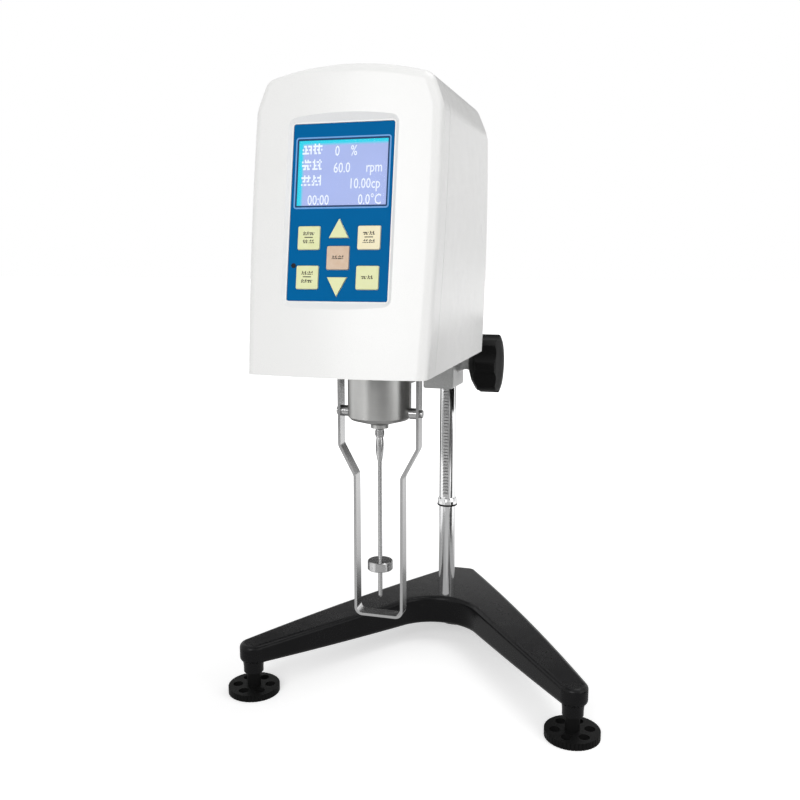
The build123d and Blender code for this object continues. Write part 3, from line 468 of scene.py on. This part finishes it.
# Cards that only reflections see: name, size, place, turn and grey level, in metres. Those that
# overlap on the floor lie at slightly different heights.
CARDS = (
    ("base card", (0.72, 0.6), (0, 0, 0.0004), FLAT, 0.45),
    ("wedge card", (1.6, 1.6), (0.286, -1.14, 0.0008), (0, 0, math.radians(57.7)), 0.6),
    ("front card", (2.2, 0.5), (0.45, -1.45, 0.25), UPRIGHT, 0.18),
    ("strip card", (0.9, 0.25), (0.75, -0.05, 0.0008), FLAT, 0.04),
    ("near card", (0.28, 0.1), (0.14, 0.02, 0.26), SIDEWAYS, 0.0),
    ("side card", (0.16, 0.14), (-0.14, 0.15, 0.24), UPRIGHT, 0.05),
    ("knob card", (0.05, 0.1), (0.085, 0.19, 0.27), UPRIGHT, 0.25),
    ("left card", (1.5, 1.1), (-1.1, 0.75, 0.0012), FLAT, 0.45),
    ("front left card", (0.85, 1.0), (-1.03, -0.52, 0.0016), (0, 0, math.radians(26.8)), 0.4),
    ("front right card", (1.5, 0.7), (1.26, -0.72, 0.002), (0, 0, math.radians(-29.9)), 0.08),
    ("back card", (2.2, 0.7), (-0.6, 2.2, 1.22), UPRIGHT, 0.02),
)


def area_lamp(name, at, aim, size, watts):
    """A soft box at a place, facing another."""
    lamp = bpy.data.lights.new(name, "AREA")
    lamp.shape = "RECTANGLE"
    lamp.size, lamp.size_y = size
    lamp.energy = watts
    holder = bpy.data.objects.new(name, lamp)
    bpy.context.scene.collection.objects.link(holder)
    turn = (Vector(aim) - Vector(at)).to_track_quat("-Z", "Y").to_matrix().to_4x4()
    holder.matrix_world = Matrix.Translation(at) @ turn


def reflection_card(name, size, at, turn, level):
    """A card of some grey level that only reflections see."""
    clear_selection()
    bpy.ops.mesh.primitive_plane_add(size=1, location=at, rotation=turn)
    card = bpy.context.object
    card.name = name
    card.scale = (size[0], size[1], 1)
    card.visible_camera = card.visible_diffuse = card.visible_shadow = False
    card.visible_transmission = False
    finish = Finish(name, Roughness=1.0, Specular_IOR_Level=0.0, Emission_Strength=level)
    finish.set("Base Color", grey(0.01))
    finish.set("Emission Color", grey(1))
    card.data.materials.append(finish.material)


def stand_camera(scene):
    """The camera, a little above the middle and to the right."""
    camera = bpy.data.cameras.new("camera")
    camera.lens = CAMERA_LENS
    camera.sensor_width = 36.0
    camera.clip_start, camera.clip_end = 0.01, 50
    holder = bpy.data.objects.new("camera", camera)
    scene.collection.objects.link(holder)
    holder.location = CAMERA_AT
    holder.rotation_euler = CAMERA_TURN
    scene.camera = holder


def lay_floor():
    """A pale floor that is white wherever no shadow falls."""
    clear_selection()
    bpy.ops.mesh.primitive_plane_add(size=FLOOR_SIZE, location=(0, 0, 0))
    floor = bpy.context.object
    floor.name = "floor"
    finish = Finish("floor", Roughness=0.95, Specular_IOR_Level=0.1, Emission_Strength=1.0)
    finish.set("Base Color", grey(0.8))
    x, y, _ = finish.place().split()
    away = ((x * x + y * y) ** 0.5).above(WHITE_FROM, WHITE_FADE)
    level = finish.seen() * (away * (1 - WHITE_NEAR) + WHITE_NEAR)
    finish.set("Emission Color", finish.blend(level, grey(0), grey(1)))
    floor.data.materials.append(finish.material)


def light_room(scene, surround):
    """A room that looks white and lights everything with surround."""
    world = bpy.data.worlds.new("studio")
    scene.world = world
    world.use_nodes = True
    room = Nodes(world.node_tree)
    colour = room.blend(room.seen(), grey(surround), grey(1))
    room.plug(world.node_tree.nodes["Background"].inputs["Color"], colour)


# ---- Modelling -------------------------------------------------------------


def clear_selection():
    """Leaves edit mode with nothing selected."""
    if bpy.context.mode != "OBJECT":
        bpy.ops.object.mode_set(mode="OBJECT")
    bpy.ops.object.select_all(action="DESELECT")


def select_only(piece):
    """Selects one piece and makes it active."""
    clear_selection()
    piece.select_set(True)
    bpy.context.view_layer.objects.active = piece


def edit(piece):
    """Opens one piece in edit mode."""
    select_only(piece)
    bpy.ops.object.mode_set(mode="EDIT")


def pick_faces(wanted):
    """Selects the faces of the open piece whose middle and normal suit wanted."""
    piece = bpy.context.object
    bpy.ops.mesh.select_mode(type="FACE")
    bpy.ops.mesh.select_all(action="DESELECT")
    mesh = bmesh.from_edit_mesh(piece.data)
    for face in mesh.faces:
        face.select_set(wanted(face.calc_center_median(), face.normal))
    bmesh.update_edit_mesh(piece.data)


def on_top(centre, normal):
    """Whether a face of a turned piece is its flat top."""
    return normal.z > 0.99


def on_end(centre, normal):
    """Whether a face of a turned piece is its flat top or bottom."""
    return abs(normal.z) > 0.99


def pick_points(wanted):
    """Selects the vertices of the open piece whose place suits wanted."""
    piece = bpy.context.object
    bpy.ops.mesh.select_mode(type="VERT")
    bpy.ops.mesh.select_all(action="DESELECT")
    mesh = bmesh.from_edit_mesh(piece.data)
    for point in mesh.verts:
        point.select_set(wanted(point.co))
    mesh.select_flush_mode()
    bmesh.update_edit_mesh(piece.data)


def raise_faces(height):
    """Extrudes the picked faces along their normals."""
    bpy.ops.mesh.extrude_region_shrink_fatten(TRANSFORM_OT_shrink_fatten={"value": height})


def raise_all(relief):
    """Gives a flat open piece its thickness."""
    bpy.ops.mesh.select_all(action="SELECT")
    raise_faces(relief * MM)
    clear_selection()


def smooth(piece, degrees):
    """Smooth shading across edges below some angle."""
    select_only(piece)
    bpy.ops.object.shade_smooth_by_angle(angle=math.radians(degrees))


def settle(piece, name, body, finish):
    """Ends a piece: its place goes into its mesh, and it gets its finish and its body."""
    select_only(piece)
    bpy.ops.object.transform_apply(location=True, rotation=True, scale=True)
    edit(piece)
    bpy.ops.mesh.select_all(action="SELECT")
    bpy.ops.mesh.remove_doubles(threshold=MERGE)
    bpy.ops.mesh.normals_make_consistent(inside=False)
    clear_selection()
    piece.name = piece.data.name = name
    piece.data.materials.clear()
    piece.data.materials.append(finish)
    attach(piece, body)
    return piece


def another(piece, at):
    """A copy of an unsettled piece, with its own mesh, at another place."""
    select_only(piece)
    bpy.ops.object.duplicate(linked=False)
    copy = bpy.context.object
    copy.location = at
    return copy


def joined(pieces):
    """Several pieces as one."""
    clear_selection()
    for piece in pieces:
        piece.select_set(True)
    bpy.context.view_layer.objects.active = pieces[0]
    bpy.ops.object.transform_apply(location=True, rotation=True, scale=True)
    bpy.ops.object.join()
    return bpy.context.object


CAP_HEIGHT = 0.7  # of a figure, over the height of its line
CURVE_STEPS = 2


def lettering(words, at, turn, height, stretch, relief, bold=0.0):
    """Raised figures whose first baseline starts at a place; sizes in millimetres."""
    clear_selection()
    bpy.ops.object.text_add(location=at, rotation=turn)
    text = bpy.context.object
    text.data.body = words
    text.data.size = height * MM / CAP_HEIGHT
    text.data.extrude = relief * MM / 2
    text.data.resolution_u = CURVE_STEPS
    text.data.offset = bold * MM
    bpy.ops.object.convert(target="MESH")
    piece = bpy.context.object
    piece.scale.x = stretch
    return piece


MARK_CELLS = 7  # width of one stroke mark, in grid cells


def mark_inked(column, level, tall, kind):
    """Whether a cell of one stroke mark belongs to a bar or to a post."""
    bar = level % 2 == 0 and (level + kind) % 3 != column % 3
    post = column in (1 + kind % 2, 4 + kind % 3) and level != kind % tall
    return bar or post


def strokes(at, turn, size, rows, tall, gap, ruled, relief, seed):
    """Rows of two stroke marks each, ruled apart or not; tall and gap are in grid cells."""
    clear_selection()
    pitch = tall + gap
    cells = (2 * MARK_CELLS + 1, pitch * rows - gap)
    bpy.ops.mesh.primitive_grid_add(
        x_subdivisions=cells[0], y_subdivisions=cells[1], size=1, location=at, rotation=turn
    )
    piece = bpy.context.object

    def bare(centre, normal):
        column = int((centre.x + 0.5) * cells[0])
        row = int((centre.y + 0.5) * cells[1])
        mark, beside = divmod(column, MARK_CELLS + 1)
        line, level = divmod(row, pitch)
        if level >= tall:
            on_rule = level == tall + gap // 2 and 1 < column < cells[0] - 2
            return not (ruled and on_rule)
        if beside == MARK_CELLS:
            return True
        return not mark_inked(beside, level, tall, seed + line * 2 + mark)

    edit(piece)
    pick_faces(bare)
    bpy.ops.mesh.delete(type="FACE")
    raise_all(relief)
    piece.scale = (size[0] * MM, size[1] * MM, 1)
    return piece


CORNER_STEPS = 5


def rim(at, turn, width, height, corner, line, relief):
    """A rectangular frame with round corners, line wide; sizes in millimetres."""
    clear_selection()
    bpy.ops.mesh.primitive_plane_add(size=1, location=at, rotation=turn)
    piece = bpy.context.object
    piece.scale = (width * MM, height * MM, 1)
    bpy.ops.object.transform_apply(location=False, rotation=False, scale=True)
    edit(piece)
    bpy.ops.mesh.select_all(action="SELECT")
    bpy.ops.mesh.bevel(offset=corner * MM, segments=CORNER_STEPS, affect="VERTICES")
    bpy.ops.mesh.select_all(action="SELECT")
    bpy.ops.mesh.inset(thickness=line * MM)
    pick_faces(lambda centre, normal: centre.length < line * MM / 2)
    bpy.ops.mesh.delete(type="FACE")
    raise_all(relief)
    return piece


# Of a head's height, its radius and its height.
HEAD_ROUND, HEAD_RIM, SOCKET_DEPTH = 0.6, 0.2, 0.7


def screw_head(at, turn, radius, height):
    """Button head with a round-cornered rim and a drive socket, on its place."""
    clear_selection()
    depth = height * MM
    bpy.ops.mesh.primitive_cylinder_add(
        vertices=36, radius=radius * MM, depth=depth, location=at, rotation=turn
    )
    piece = bpy.context.object
    edit(piece)
    pick_faces(on_top)
    bpy.ops.mesh.bevel(offset=HEAD_ROUND * depth, segments=4, affect="EDGES")
    pick_faces(on_top)
    bpy.ops.mesh.inset(thickness=HEAD_RIM * radius * MM)
    raise_faces(-SOCKET_DEPTH * depth)
    clear_selection()
    return piece


# ---- Settings --------------------------------------------------------------


def colour_setting(name, description, default):
    """A colour in the sidebar."""
    return bpy.props.FloatVectorProperty(
        name=name, description=description, default=default, subtype="COLOR", min=0.0, max=1.0
    )


def size_setting(name, description, default, **limits):
    """A size in the sidebar, in millimetres."""
    return bpy.props.FloatProperty(
        name=name, description=description + ", in millimetres", default=default, **limits
    )


def lamp_setting(name, description, default):
    """A lamp's power in the sidebar."""
    return bpy.props.FloatProperty(
        name=name, description=description, default=default, unit="POWER"
    )


class VISCOMETER_PG_colours(bpy.types.PropertyGroup):
    """Colours of the instrument's front"""

    housing: colour_setting("Housing", "White of the moulded housing", (0.87, 0.87, 0.86))
    overlay: colour_setting("Overlay", "Blue of the printed overlay", (0.0, 0.115, 0.32))
    yellow_key: colour_setting("Yellow keys", "Film of the yellow keys", (0.74, 0.77, 0.38))
    peach_key: colour_setting("Peach key", "Film of the peach key", (0.88, 0.79, 0.5))
    salmon_key: colour_setting("Salmon key", "Film of the salmon key", (0.63, 0.44, 0.29))
    line: colour_setting("Display line", "Line round the display", (0.15, 0.38, 0.76))
    display: colour_setting("Display", "Backlight of the display", (0.44, 0.52, 0.90))


class VISCOMETER_PG_display(bpy.types.PropertyGroup):
    """Sizes of what shows on the display"""

    figure_height: size_setting("Figure height", "Height of the figures", 6.3, min=1.0)
    stretch: bpy.props.FloatProperty(
        name="Stretch", description="Width of a figure over its usual width", default=0.72
    )
    frame_line: size_setting("Frame line", "Width of the frame's line", 0.9)
    # Width of the dark ring inside the display's line, which is painted shadow of the display's bezel.
    gasket: size_setting("Gasket", "Width of the dark gasket", 1.05)
    relief: size_setting("Relief", "Thickness of what is printed", 0.06)


class VISCOMETER_PG_keys(bpy.types.PropertyGroup):
    """Sizes of the marks on the keys"""

    mark_width: size_setting("Mark width", "Width of a key's marks", 7.4)
    row_height: size_setting("Row height", "Height of one row of marks", 2.2)
    relief: size_setting("Relief", "Thickness of the ink", 0.05)


class VISCOMETER_PG_fittings(bpy.types.PropertyGroup):
    """Sizes of the small fittings"""

    screw_radius: size_setting("Screw radius", "Radius of a cover screw's head", 2.9)
    screw_height: size_setting("Screw height", "Height of a cover screw's head", 1.5)
    knurls: bpy.props.IntProperty(
        name="Knurls", description="Ridges round the coupling nut", default=24, min=6
    )
    rim_widening: size_setting("Rim widening", "How much wider the knob's rim is than its core's", 4.5)


class VISCOMETER_PG_studio(bpy.types.PropertyGroup):
    """Light of the studio"""

    key_power: lamp_setting("Key lamp", "Power of the lamp in front", 14.0)
    fill_power: lamp_setting("Fill lamp", "Power of the lamp on the right", 3.7)
    top_power: lamp_setting("Top lamp", "Power of the lamp overhead", 5.6)
    surround: bpy.props.FloatProperty(
        name="Surround", description="Brightness of the room", default=0.42, min=0.0
    )


# ---- Operators -------------------------------------------------------------

# Sizes and places in the operators are in millimetres, unless a comment says otherwise.


class VISCOMETER_OT_finishes(bpy.types.Operator):
    """Give every CAD node the finish of its material slot"""

    bl_idname = "viscometer.finishes"
    bl_label = "Finishes"

    def execute(self, context):
        finishes = slot_materials(context.scene.viscometer_colours)
        for part in frame["record"]["subparts"]:
            mesh = nodes[part["node"]].data
            mesh.materials.clear()
            mesh.materials.append(finishes[part["material_slot"]])
        return {"FINISHED"}


class VISCOMETER_OT_display_frame(bpy.types.Operator):
    """Print the pale line round the display and, inside it, a dark ring of painted shadow where the
    display's bezel shades the window
    """

    bl_idname = "viscometer.display_frame"
    bl_label = "Display frame"

    line_room = (1.6, 1.8)  # the line's frame is this much wider and taller than the window
    line_corner = 1.8
    # Inset and corner of the dark ring of painted bezel shadow, in millimetres.
    painted_shadow_inset = 0.2
    painted_shadow_corner = 0.6

    def execute(self, context):
        sizes = context.scene.viscometer_display
        low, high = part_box("display_window")
        width = (high.x - low.x) / MM
        height = (reach("display_window", UP_PANEL) + reach("display_window", -UP_PANEL)) / MM

        shift = middle("display_window") - middle("key_overlay")
        at = on_panel("key_overlay", up=shift.dot(UP_PANEL) / MM, out=PRINT_GAP)
        wide, tall = width + self.line_room[0], height + self.line_room[1]
        line = rim(at, PANEL_TURN, wide, tall, self.line_corner, sizes.frame_line, sizes.relief)
        settle(line, "display_line", "head", ink("line ink", context.scene.viscometer_colours.line))

        # A dark ring just inside the window's edge, all the way round: painted shadow of the display's
        # bezel.
        at = on_panel("display_window", out=PRINT_GAP)
        wide, tall = width - self.painted_shadow_inset, height - self.painted_shadow_inset
        gasket = rim(at, PANEL_TURN, wide, tall, self.painted_shadow_corner, sizes.gasket, sizes.relief)
        settle(gasket, "display_painted_shadow", "head", ink("gasket", (0.0, 0.035, 0.13)))
        return {"FINISHED"}


class VISCOMETER_OT_display_figures(bpy.types.Operator):
    """Write the rows of figures on the display"""

    bl_idname = "viscometer.display_figures"
    bl_label = "Display figures"

    # Each row's words, and where they start across and up from the display's middle.
    rows = (
        ("0", -5.2, 10.3),
        ("%", 5.0, 10.3),
        ("60.0", -5.8, -0.1),
        ("rpm", 15.2, -0.1),
        ("10.00cp", 4.6, -10.0),
        ("00:00", -22.0, -19.8),
        ("0.0\u00b0C", 11.0, -19.8),
    )
    bold = 0.05
    marks_at = (-20.0, 5.2)
    marks_size = (13.0, 26.0)

    def execute(self, context):
        sizes = context.scene.viscometer_display
        height, stretch, relief = sizes.figure_height, sizes.stretch, sizes.relief
        lines = []
        for words, across, up in self.rows:
            at = on_panel("display_window", across, up, PRINT_GAP + relief / 2)
            lines.append(lettering(words, at, PANEL_TURN, height, stretch, relief, self.bold))
        figures = glow("lit figures", (0.85, 0.9, 1.0), 0.8)
        settle(joined(lines), "display_figures", "head", figures)

        at = on_panel("display_window", *self.marks_at, PRINT_GAP)
        marks = strokes(
            at, PANEL_TURN, self.marks_size, rows=3, tall=6, gap=3, ruled=False,
            relief=relief, seed=1,
        )
        settle(marks, "display_marks", "head", glow("lit marks", (0.8, 0.88, 1.0), 0.85))
        return {"FINISHED"}


class VISCOMETER_OT_key_marks(bpy.types.Operator):
    """Print the marks on the keys"""

    bl_idname = "viscometer.key_marks"
    bl_label = "Key marks"

    rows = {"menu": 2, "speed": 2, "start": 2, "print": 1, "enter": 1}
    tall, gap = 4, 5

    def execute(self, context):
        sizes = context.scene.viscometer_keys
        finish = ink("key ink", (0.05, 0.042, 0.03))
        row_pitch = sizes.row_height * (self.tall + self.gap) / self.tall
        for number, (key, rows) in enumerate(self.rows.items()):
            at = on_panel("key_" + key, out=PRINT_GAP)
            size = (sizes.mark_width, sizes.row_height + row_pitch * (rows - 1))
            marks = strokes(
                at, PANEL_TURN, size, rows, self.tall, self.gap, ruled=True,
                relief=sizes.relief, seed=number,
            )
            settle(marks, "marks_" + key, "key_" + key, finish)
        return {"FINISHED"}


class VISCOMETER_OT_indicator(bpy.types.Operator):
    """Add the light sensor beside the keys"""

    bl_idname = "viscometer.indicator"
    bl_label = "Indicator"

    place = (-29.0, -33.0)
    radius, depth, proud, lip, hollow = 1.5, 0.5, 0.1, 0.35, 0.2

    def execute(self, context):
        clear_selection()
        at = on_panel("key_overlay", *self.place, self.proud)
        bpy.ops.mesh.primitive_cylinder_add(
            vertices=32, radius=self.radius * MM, depth=self.depth * MM, location=at,
            rotation=PANEL_TURN,
        )
        piece = bpy.context.object
        edit(piece)
        pick_faces(on_top)
        bpy.ops.mesh.inset(thickness=self.lip * MM)
        raise_faces(-self.hollow * MM)
        lens = moulded("indicator lens", (0.01, 0.01, 0.012), (0.015, 0.015, 0.02), 0.2, 1.0, 0.01)
        settle(piece, "indicator", "head", lens)
        return {"FINISHED"}


class VISCOMETER_OT_knob_grip(bpy.types.Operator):
    """Form the lift knob's grip on its core: the same lobes with a wider rim"""

    bl_idname = "viscometer.knob_grip"
    bl_label = "Knob grip"

    rim_from = 0.6  # of the knob's width, from its inner face

    def execute(self, context):
        wider = context.scene.viscometer_fittings.rim_widening * MM
        low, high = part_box("lift_knob")
        core = nodes["lift_knob"]
        piece = bpy.data.objects.new("knob_grip", core.data.copy())
        context.collection.objects.link(piece)
        edit(piece)
        bpy.ops.mesh.customdata_custom_splitnormals_clear()
        bpy.ops.mesh.select_all(action="SELECT")
        bpy.ops.mesh.remove_doubles(threshold=MERGE)
        rim_start = low.x + self.rim_from * (high.x - low.x)
        pick_points(lambda point: point.x > rim_start)
        bpy.ops.transform.translate(value=(wider, 0, 0))
        settle(piece, "knob_grip", "knob", core.data.materials[0])
        smooth(piece, 35)
        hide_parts("lift_knob")
        return {"FINISHED"}


class VISCOMETER_OT_knurled_ring(bpy.types.Operator):
    """Add the knurl round the coupling nut"""

    bl_idname = "viscometer.knurled_ring"
    bl_label = "Knurled ring"

    clearance, ridge = 0.05, 0.25
    band = 0.55  # of the nut's height
    wall = 0.4  # of the nut's radius

    def execute(self, context):
        count = context.scene.viscometer_fittings.knurls
        low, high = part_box("coupling_nut")
        radius = (high.x - low.x) / 2 + self.clearance * MM
        clear_selection()
        bpy.ops.mesh.primitive_cylinder_add(
            vertices=2 * count, radius=radius, depth=self.band * (high.z - low.z),
            location=middle("coupling_nut"),
        )
        piece = bpy.context.object
        edit(piece)
        width = math.pi / count

        def on_ridge(centre, normal):
            turn = math.atan2(normal.y, normal.x) + math.tau
            return abs(normal.z) < 0.1 and int(turn / width) % 2 == 0

        pick_faces(on_ridge)
        raise_faces(self.ridge * MM)
        pick_faces(lambda centre, normal: on_end(centre, normal) and centre.xy.length < radius / 2)
        bpy.ops.mesh.inset(thickness=self.wall * radius)
        bpy.ops.mesh.delete(type="FACE")
        finish = nodes["coupling_nut"].data.materials[0]
        settle(piece, "coupling_knurl", "measuring_spindle", finish)
        return {"FINISHED"}


class VISCOMETER_OT_bubble(bpy.types.Operator):
    """Add the bubble and the ring of the round level"""

    bl_idname = "viscometer.bubble"
    bl_label = "Level bubble"

    bubble_radius, bubble_sunk, bubble_flatness = 2.3, 1.0, 0.35
    ring_radius, ring_line, ring_depth, ring_proud = 3.4, 0.35, 0.12, 0.04

    def execute(self, context):
        low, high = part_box("level_glass")
        top = Vector(((low.x + high.x) / 2, (low.y + high.y) / 2, high.z))
        clear_selection()
        bpy.ops.mesh.primitive_uv_sphere_add(
            segments=32, ring_count=16, radius=self.bubble_radius * MM,
            location=top + DOWNWARD * self.bubble_sunk * MM,
        )
        bubble = bpy.context.object
        edit(bubble)
        bpy.ops.mesh.select_all(action="SELECT")
        bpy.ops.transform.resize(value=(1, 1, self.bubble_flatness))
        smooth(bubble, 60)
        settle(bubble, "level_bubble", "head", ink("bubble", (0.75, 0.9, 0.35)))

        clear_selection()
        bpy.ops.mesh.primitive_cylinder_add(
            vertices=48, radius=self.ring_radius * MM, depth=self.ring_depth * MM,
            location=top - DOWNWARD * self.ring_proud * MM,
        )
        ring = bpy.context.object
        edit(ring)
        pick_faces(on_end)
        bpy.ops.mesh.inset(thickness=self.ring_line * MM)
        bpy.ops.mesh.delete(type="FACE")
        settle(ring, "level_ring", "head", ink("level ring", grey(0.02)))
        return {"FINISHED"}


class VISCOMETER_OT_cover_screws(bpy.types.Operator):
    """Add the screws that hold the rear cover and the floor plate"""

    bl_idname = "viscometer.cover_screws"
    bl_label = "Cover screws"

    cover_across, cover_heights = 46, (352, 452)
    plate_margin = (9, 12)
    bedded = 0.1  # how deep a head sits in what it holds

    def screws(self, sizes, turn, spots):
        """One screw modelled at the first spot and copied to the others."""
        model = screw_head(spots[0], turn, sizes.screw_radius, sizes.screw_height)
        return [model] + [another(model, spot) for spot in spots[1:]]

    def execute(self, context):
        sizes = context.scene.viscometer_fittings
        finish = nodes["arm_screws"].data.materials[0]
        proud = (sizes.screw_height / 2 - self.bedded) * MM
        rear = reach("rear_shell", REARWARD) + proud
        spots = [
            Vector((side * self.cover_across * MM, rear, height * MM))
            for side in (-1, 1)
            for height in self.cover_heights
        ]
        for number, piece in enumerate(self.screws(sizes, REAR_TURN, spots), 1):
            settle(piece, f"cover_screw_{number}", "head", finish)

        low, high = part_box("floor_plate")
        below = -reach("floor_plate", DOWNWARD) - proud
        in_x, in_y = self.plate_margin[0] * MM, self.plate_margin[1] * MM
        spots = [
            Vector((x, y, below))
            for x in (low.x + in_x, high.x - in_x)
            for y in (low.y + in_y, high.y - in_y)
        ]
        for number, piece in enumerate(self.screws(sizes, UNDERSIDE_TURN, spots), 1):
            settle(piece, f"plate_screw_{number}", "head", finish)
        return {"FINISHED"}


class VISCOMETER_OT_switch_marks(bpy.types.Operator):
    """Print ON and OFF marks beside the power switch"""

    bl_idname = "viscometer.switch_marks"
    bl_label = "Switch marks"

    above, off_start, on_start = 2.5, 0.5, 4.5
    letter_height, stretch, relief, gap = 2.2, 0.9, 0.05, 0.03

    def execute(self, context):
        low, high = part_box("switch_body")
        rear = reach("rear_shell", REARWARD) + self.gap * MM
        height = high.z + self.above * MM
        finish = ink("cover ink", (0.05, 0.05, 0.055))
        starts = {"OFF": high.x + self.off_start * MM, "ON": low.x + self.on_start * MM}
        for words, x in starts.items():
            at = (x, rear, height)
            piece = lettering(words, at, REAR_TURN, self.letter_height, self.stretch, self.relief)
            settle(piece, "mark_" + words, "head", finish)
        return {"FINISHED"}


class VISCOMETER_OT_studio(bpy.types.Operator):
    """Add the floor, the room, the lamps, the reflection cards and the camera"""

    bl_idname = "viscometer.studio"
    bl_label = "Studio"

    def execute(self, context):
        scene = context.scene
        light = scene.viscometer_studio
        scene.view_settings.view_transform = "Standard"
        stand_camera(scene)
        lay_floor()
        light_room(scene, light.surround)
        for card in CARDS:
            reflection_card(*card)
        area_lamp("key", (-0.15, -1.75, 0.95), (0, 0, 0.35), (0.9, 1.1), light.key_power)
        area_lamp("fill", (1.6, -0.5, 0.8), LAMPS_AIM, (0.8, 1.4), light.fill_power)
        area_lamp("top", (0.6, 0.1, 1.6), LAMPS_AIM, (0.9, 0.7), light.top_power)
        return {"FINISHED"}


class VISCOMETER_PT_sidebar(bpy.types.Panel):
    """Every step of the visible model, in the order in which they run"""

    bl_idname = "VISCOMETER_PT_sidebar"
    bl_label = "Viscometer"
    bl_space_type = "VIEW_3D"
    bl_region_type = "UI"
    bl_category = "Viscometer"

    def draw(self, context):
        scene = context.scene
        for group in GROUPS:
            settings = getattr(scene, group)
            box = self.layout.box()
            for name in settings.__annotations__:
                box.prop(settings, name)
        for step in STEPS:
            self.layout.operator(step.bl_idname)


GROUPS = {
    "viscometer_colours": VISCOMETER_PG_colours,
    "viscometer_display": VISCOMETER_PG_display,
    "viscometer_keys": VISCOMETER_PG_keys,
    "viscometer_fittings": VISCOMETER_PG_fittings,
    "viscometer_studio": VISCOMETER_PG_studio,
}
STEPS = (
    VISCOMETER_OT_finishes,
    VISCOMETER_OT_display_frame,
    VISCOMETER_OT_display_figures,
    VISCOMETER_OT_key_marks,
    VISCOMETER_OT_indicator,
    VISCOMETER_OT_knob_grip,
    VISCOMETER_OT_knurled_ring,
    VISCOMETER_OT_bubble,
    VISCOMETER_OT_cover_screws,
    VISCOMETER_OT_switch_marks,
    VISCOMETER_OT_studio,
)
CLASSES = tuple(GROUPS.values()) + STEPS + (VISCOMETER_PT_sidebar,)


def register():
    for cls in CLASSES:
        bpy.utils.register_class(cls)
    for name, group in GROUPS.items():
        setattr(bpy.types.Scene, name, bpy.props.PointerProperty(type=group))


def unregister():
    for name in GROUPS:
        delattr(bpy.types.Scene, name)
    for cls in reversed(CLASSES):
        bpy.utils.unregister_class(cls)


def main():
    register()
    for step in STEPS:
        getattr(bpy.ops.viscometer, step.bl_idname.split(".")[1])()


if __name__ == "__main__":
    main()
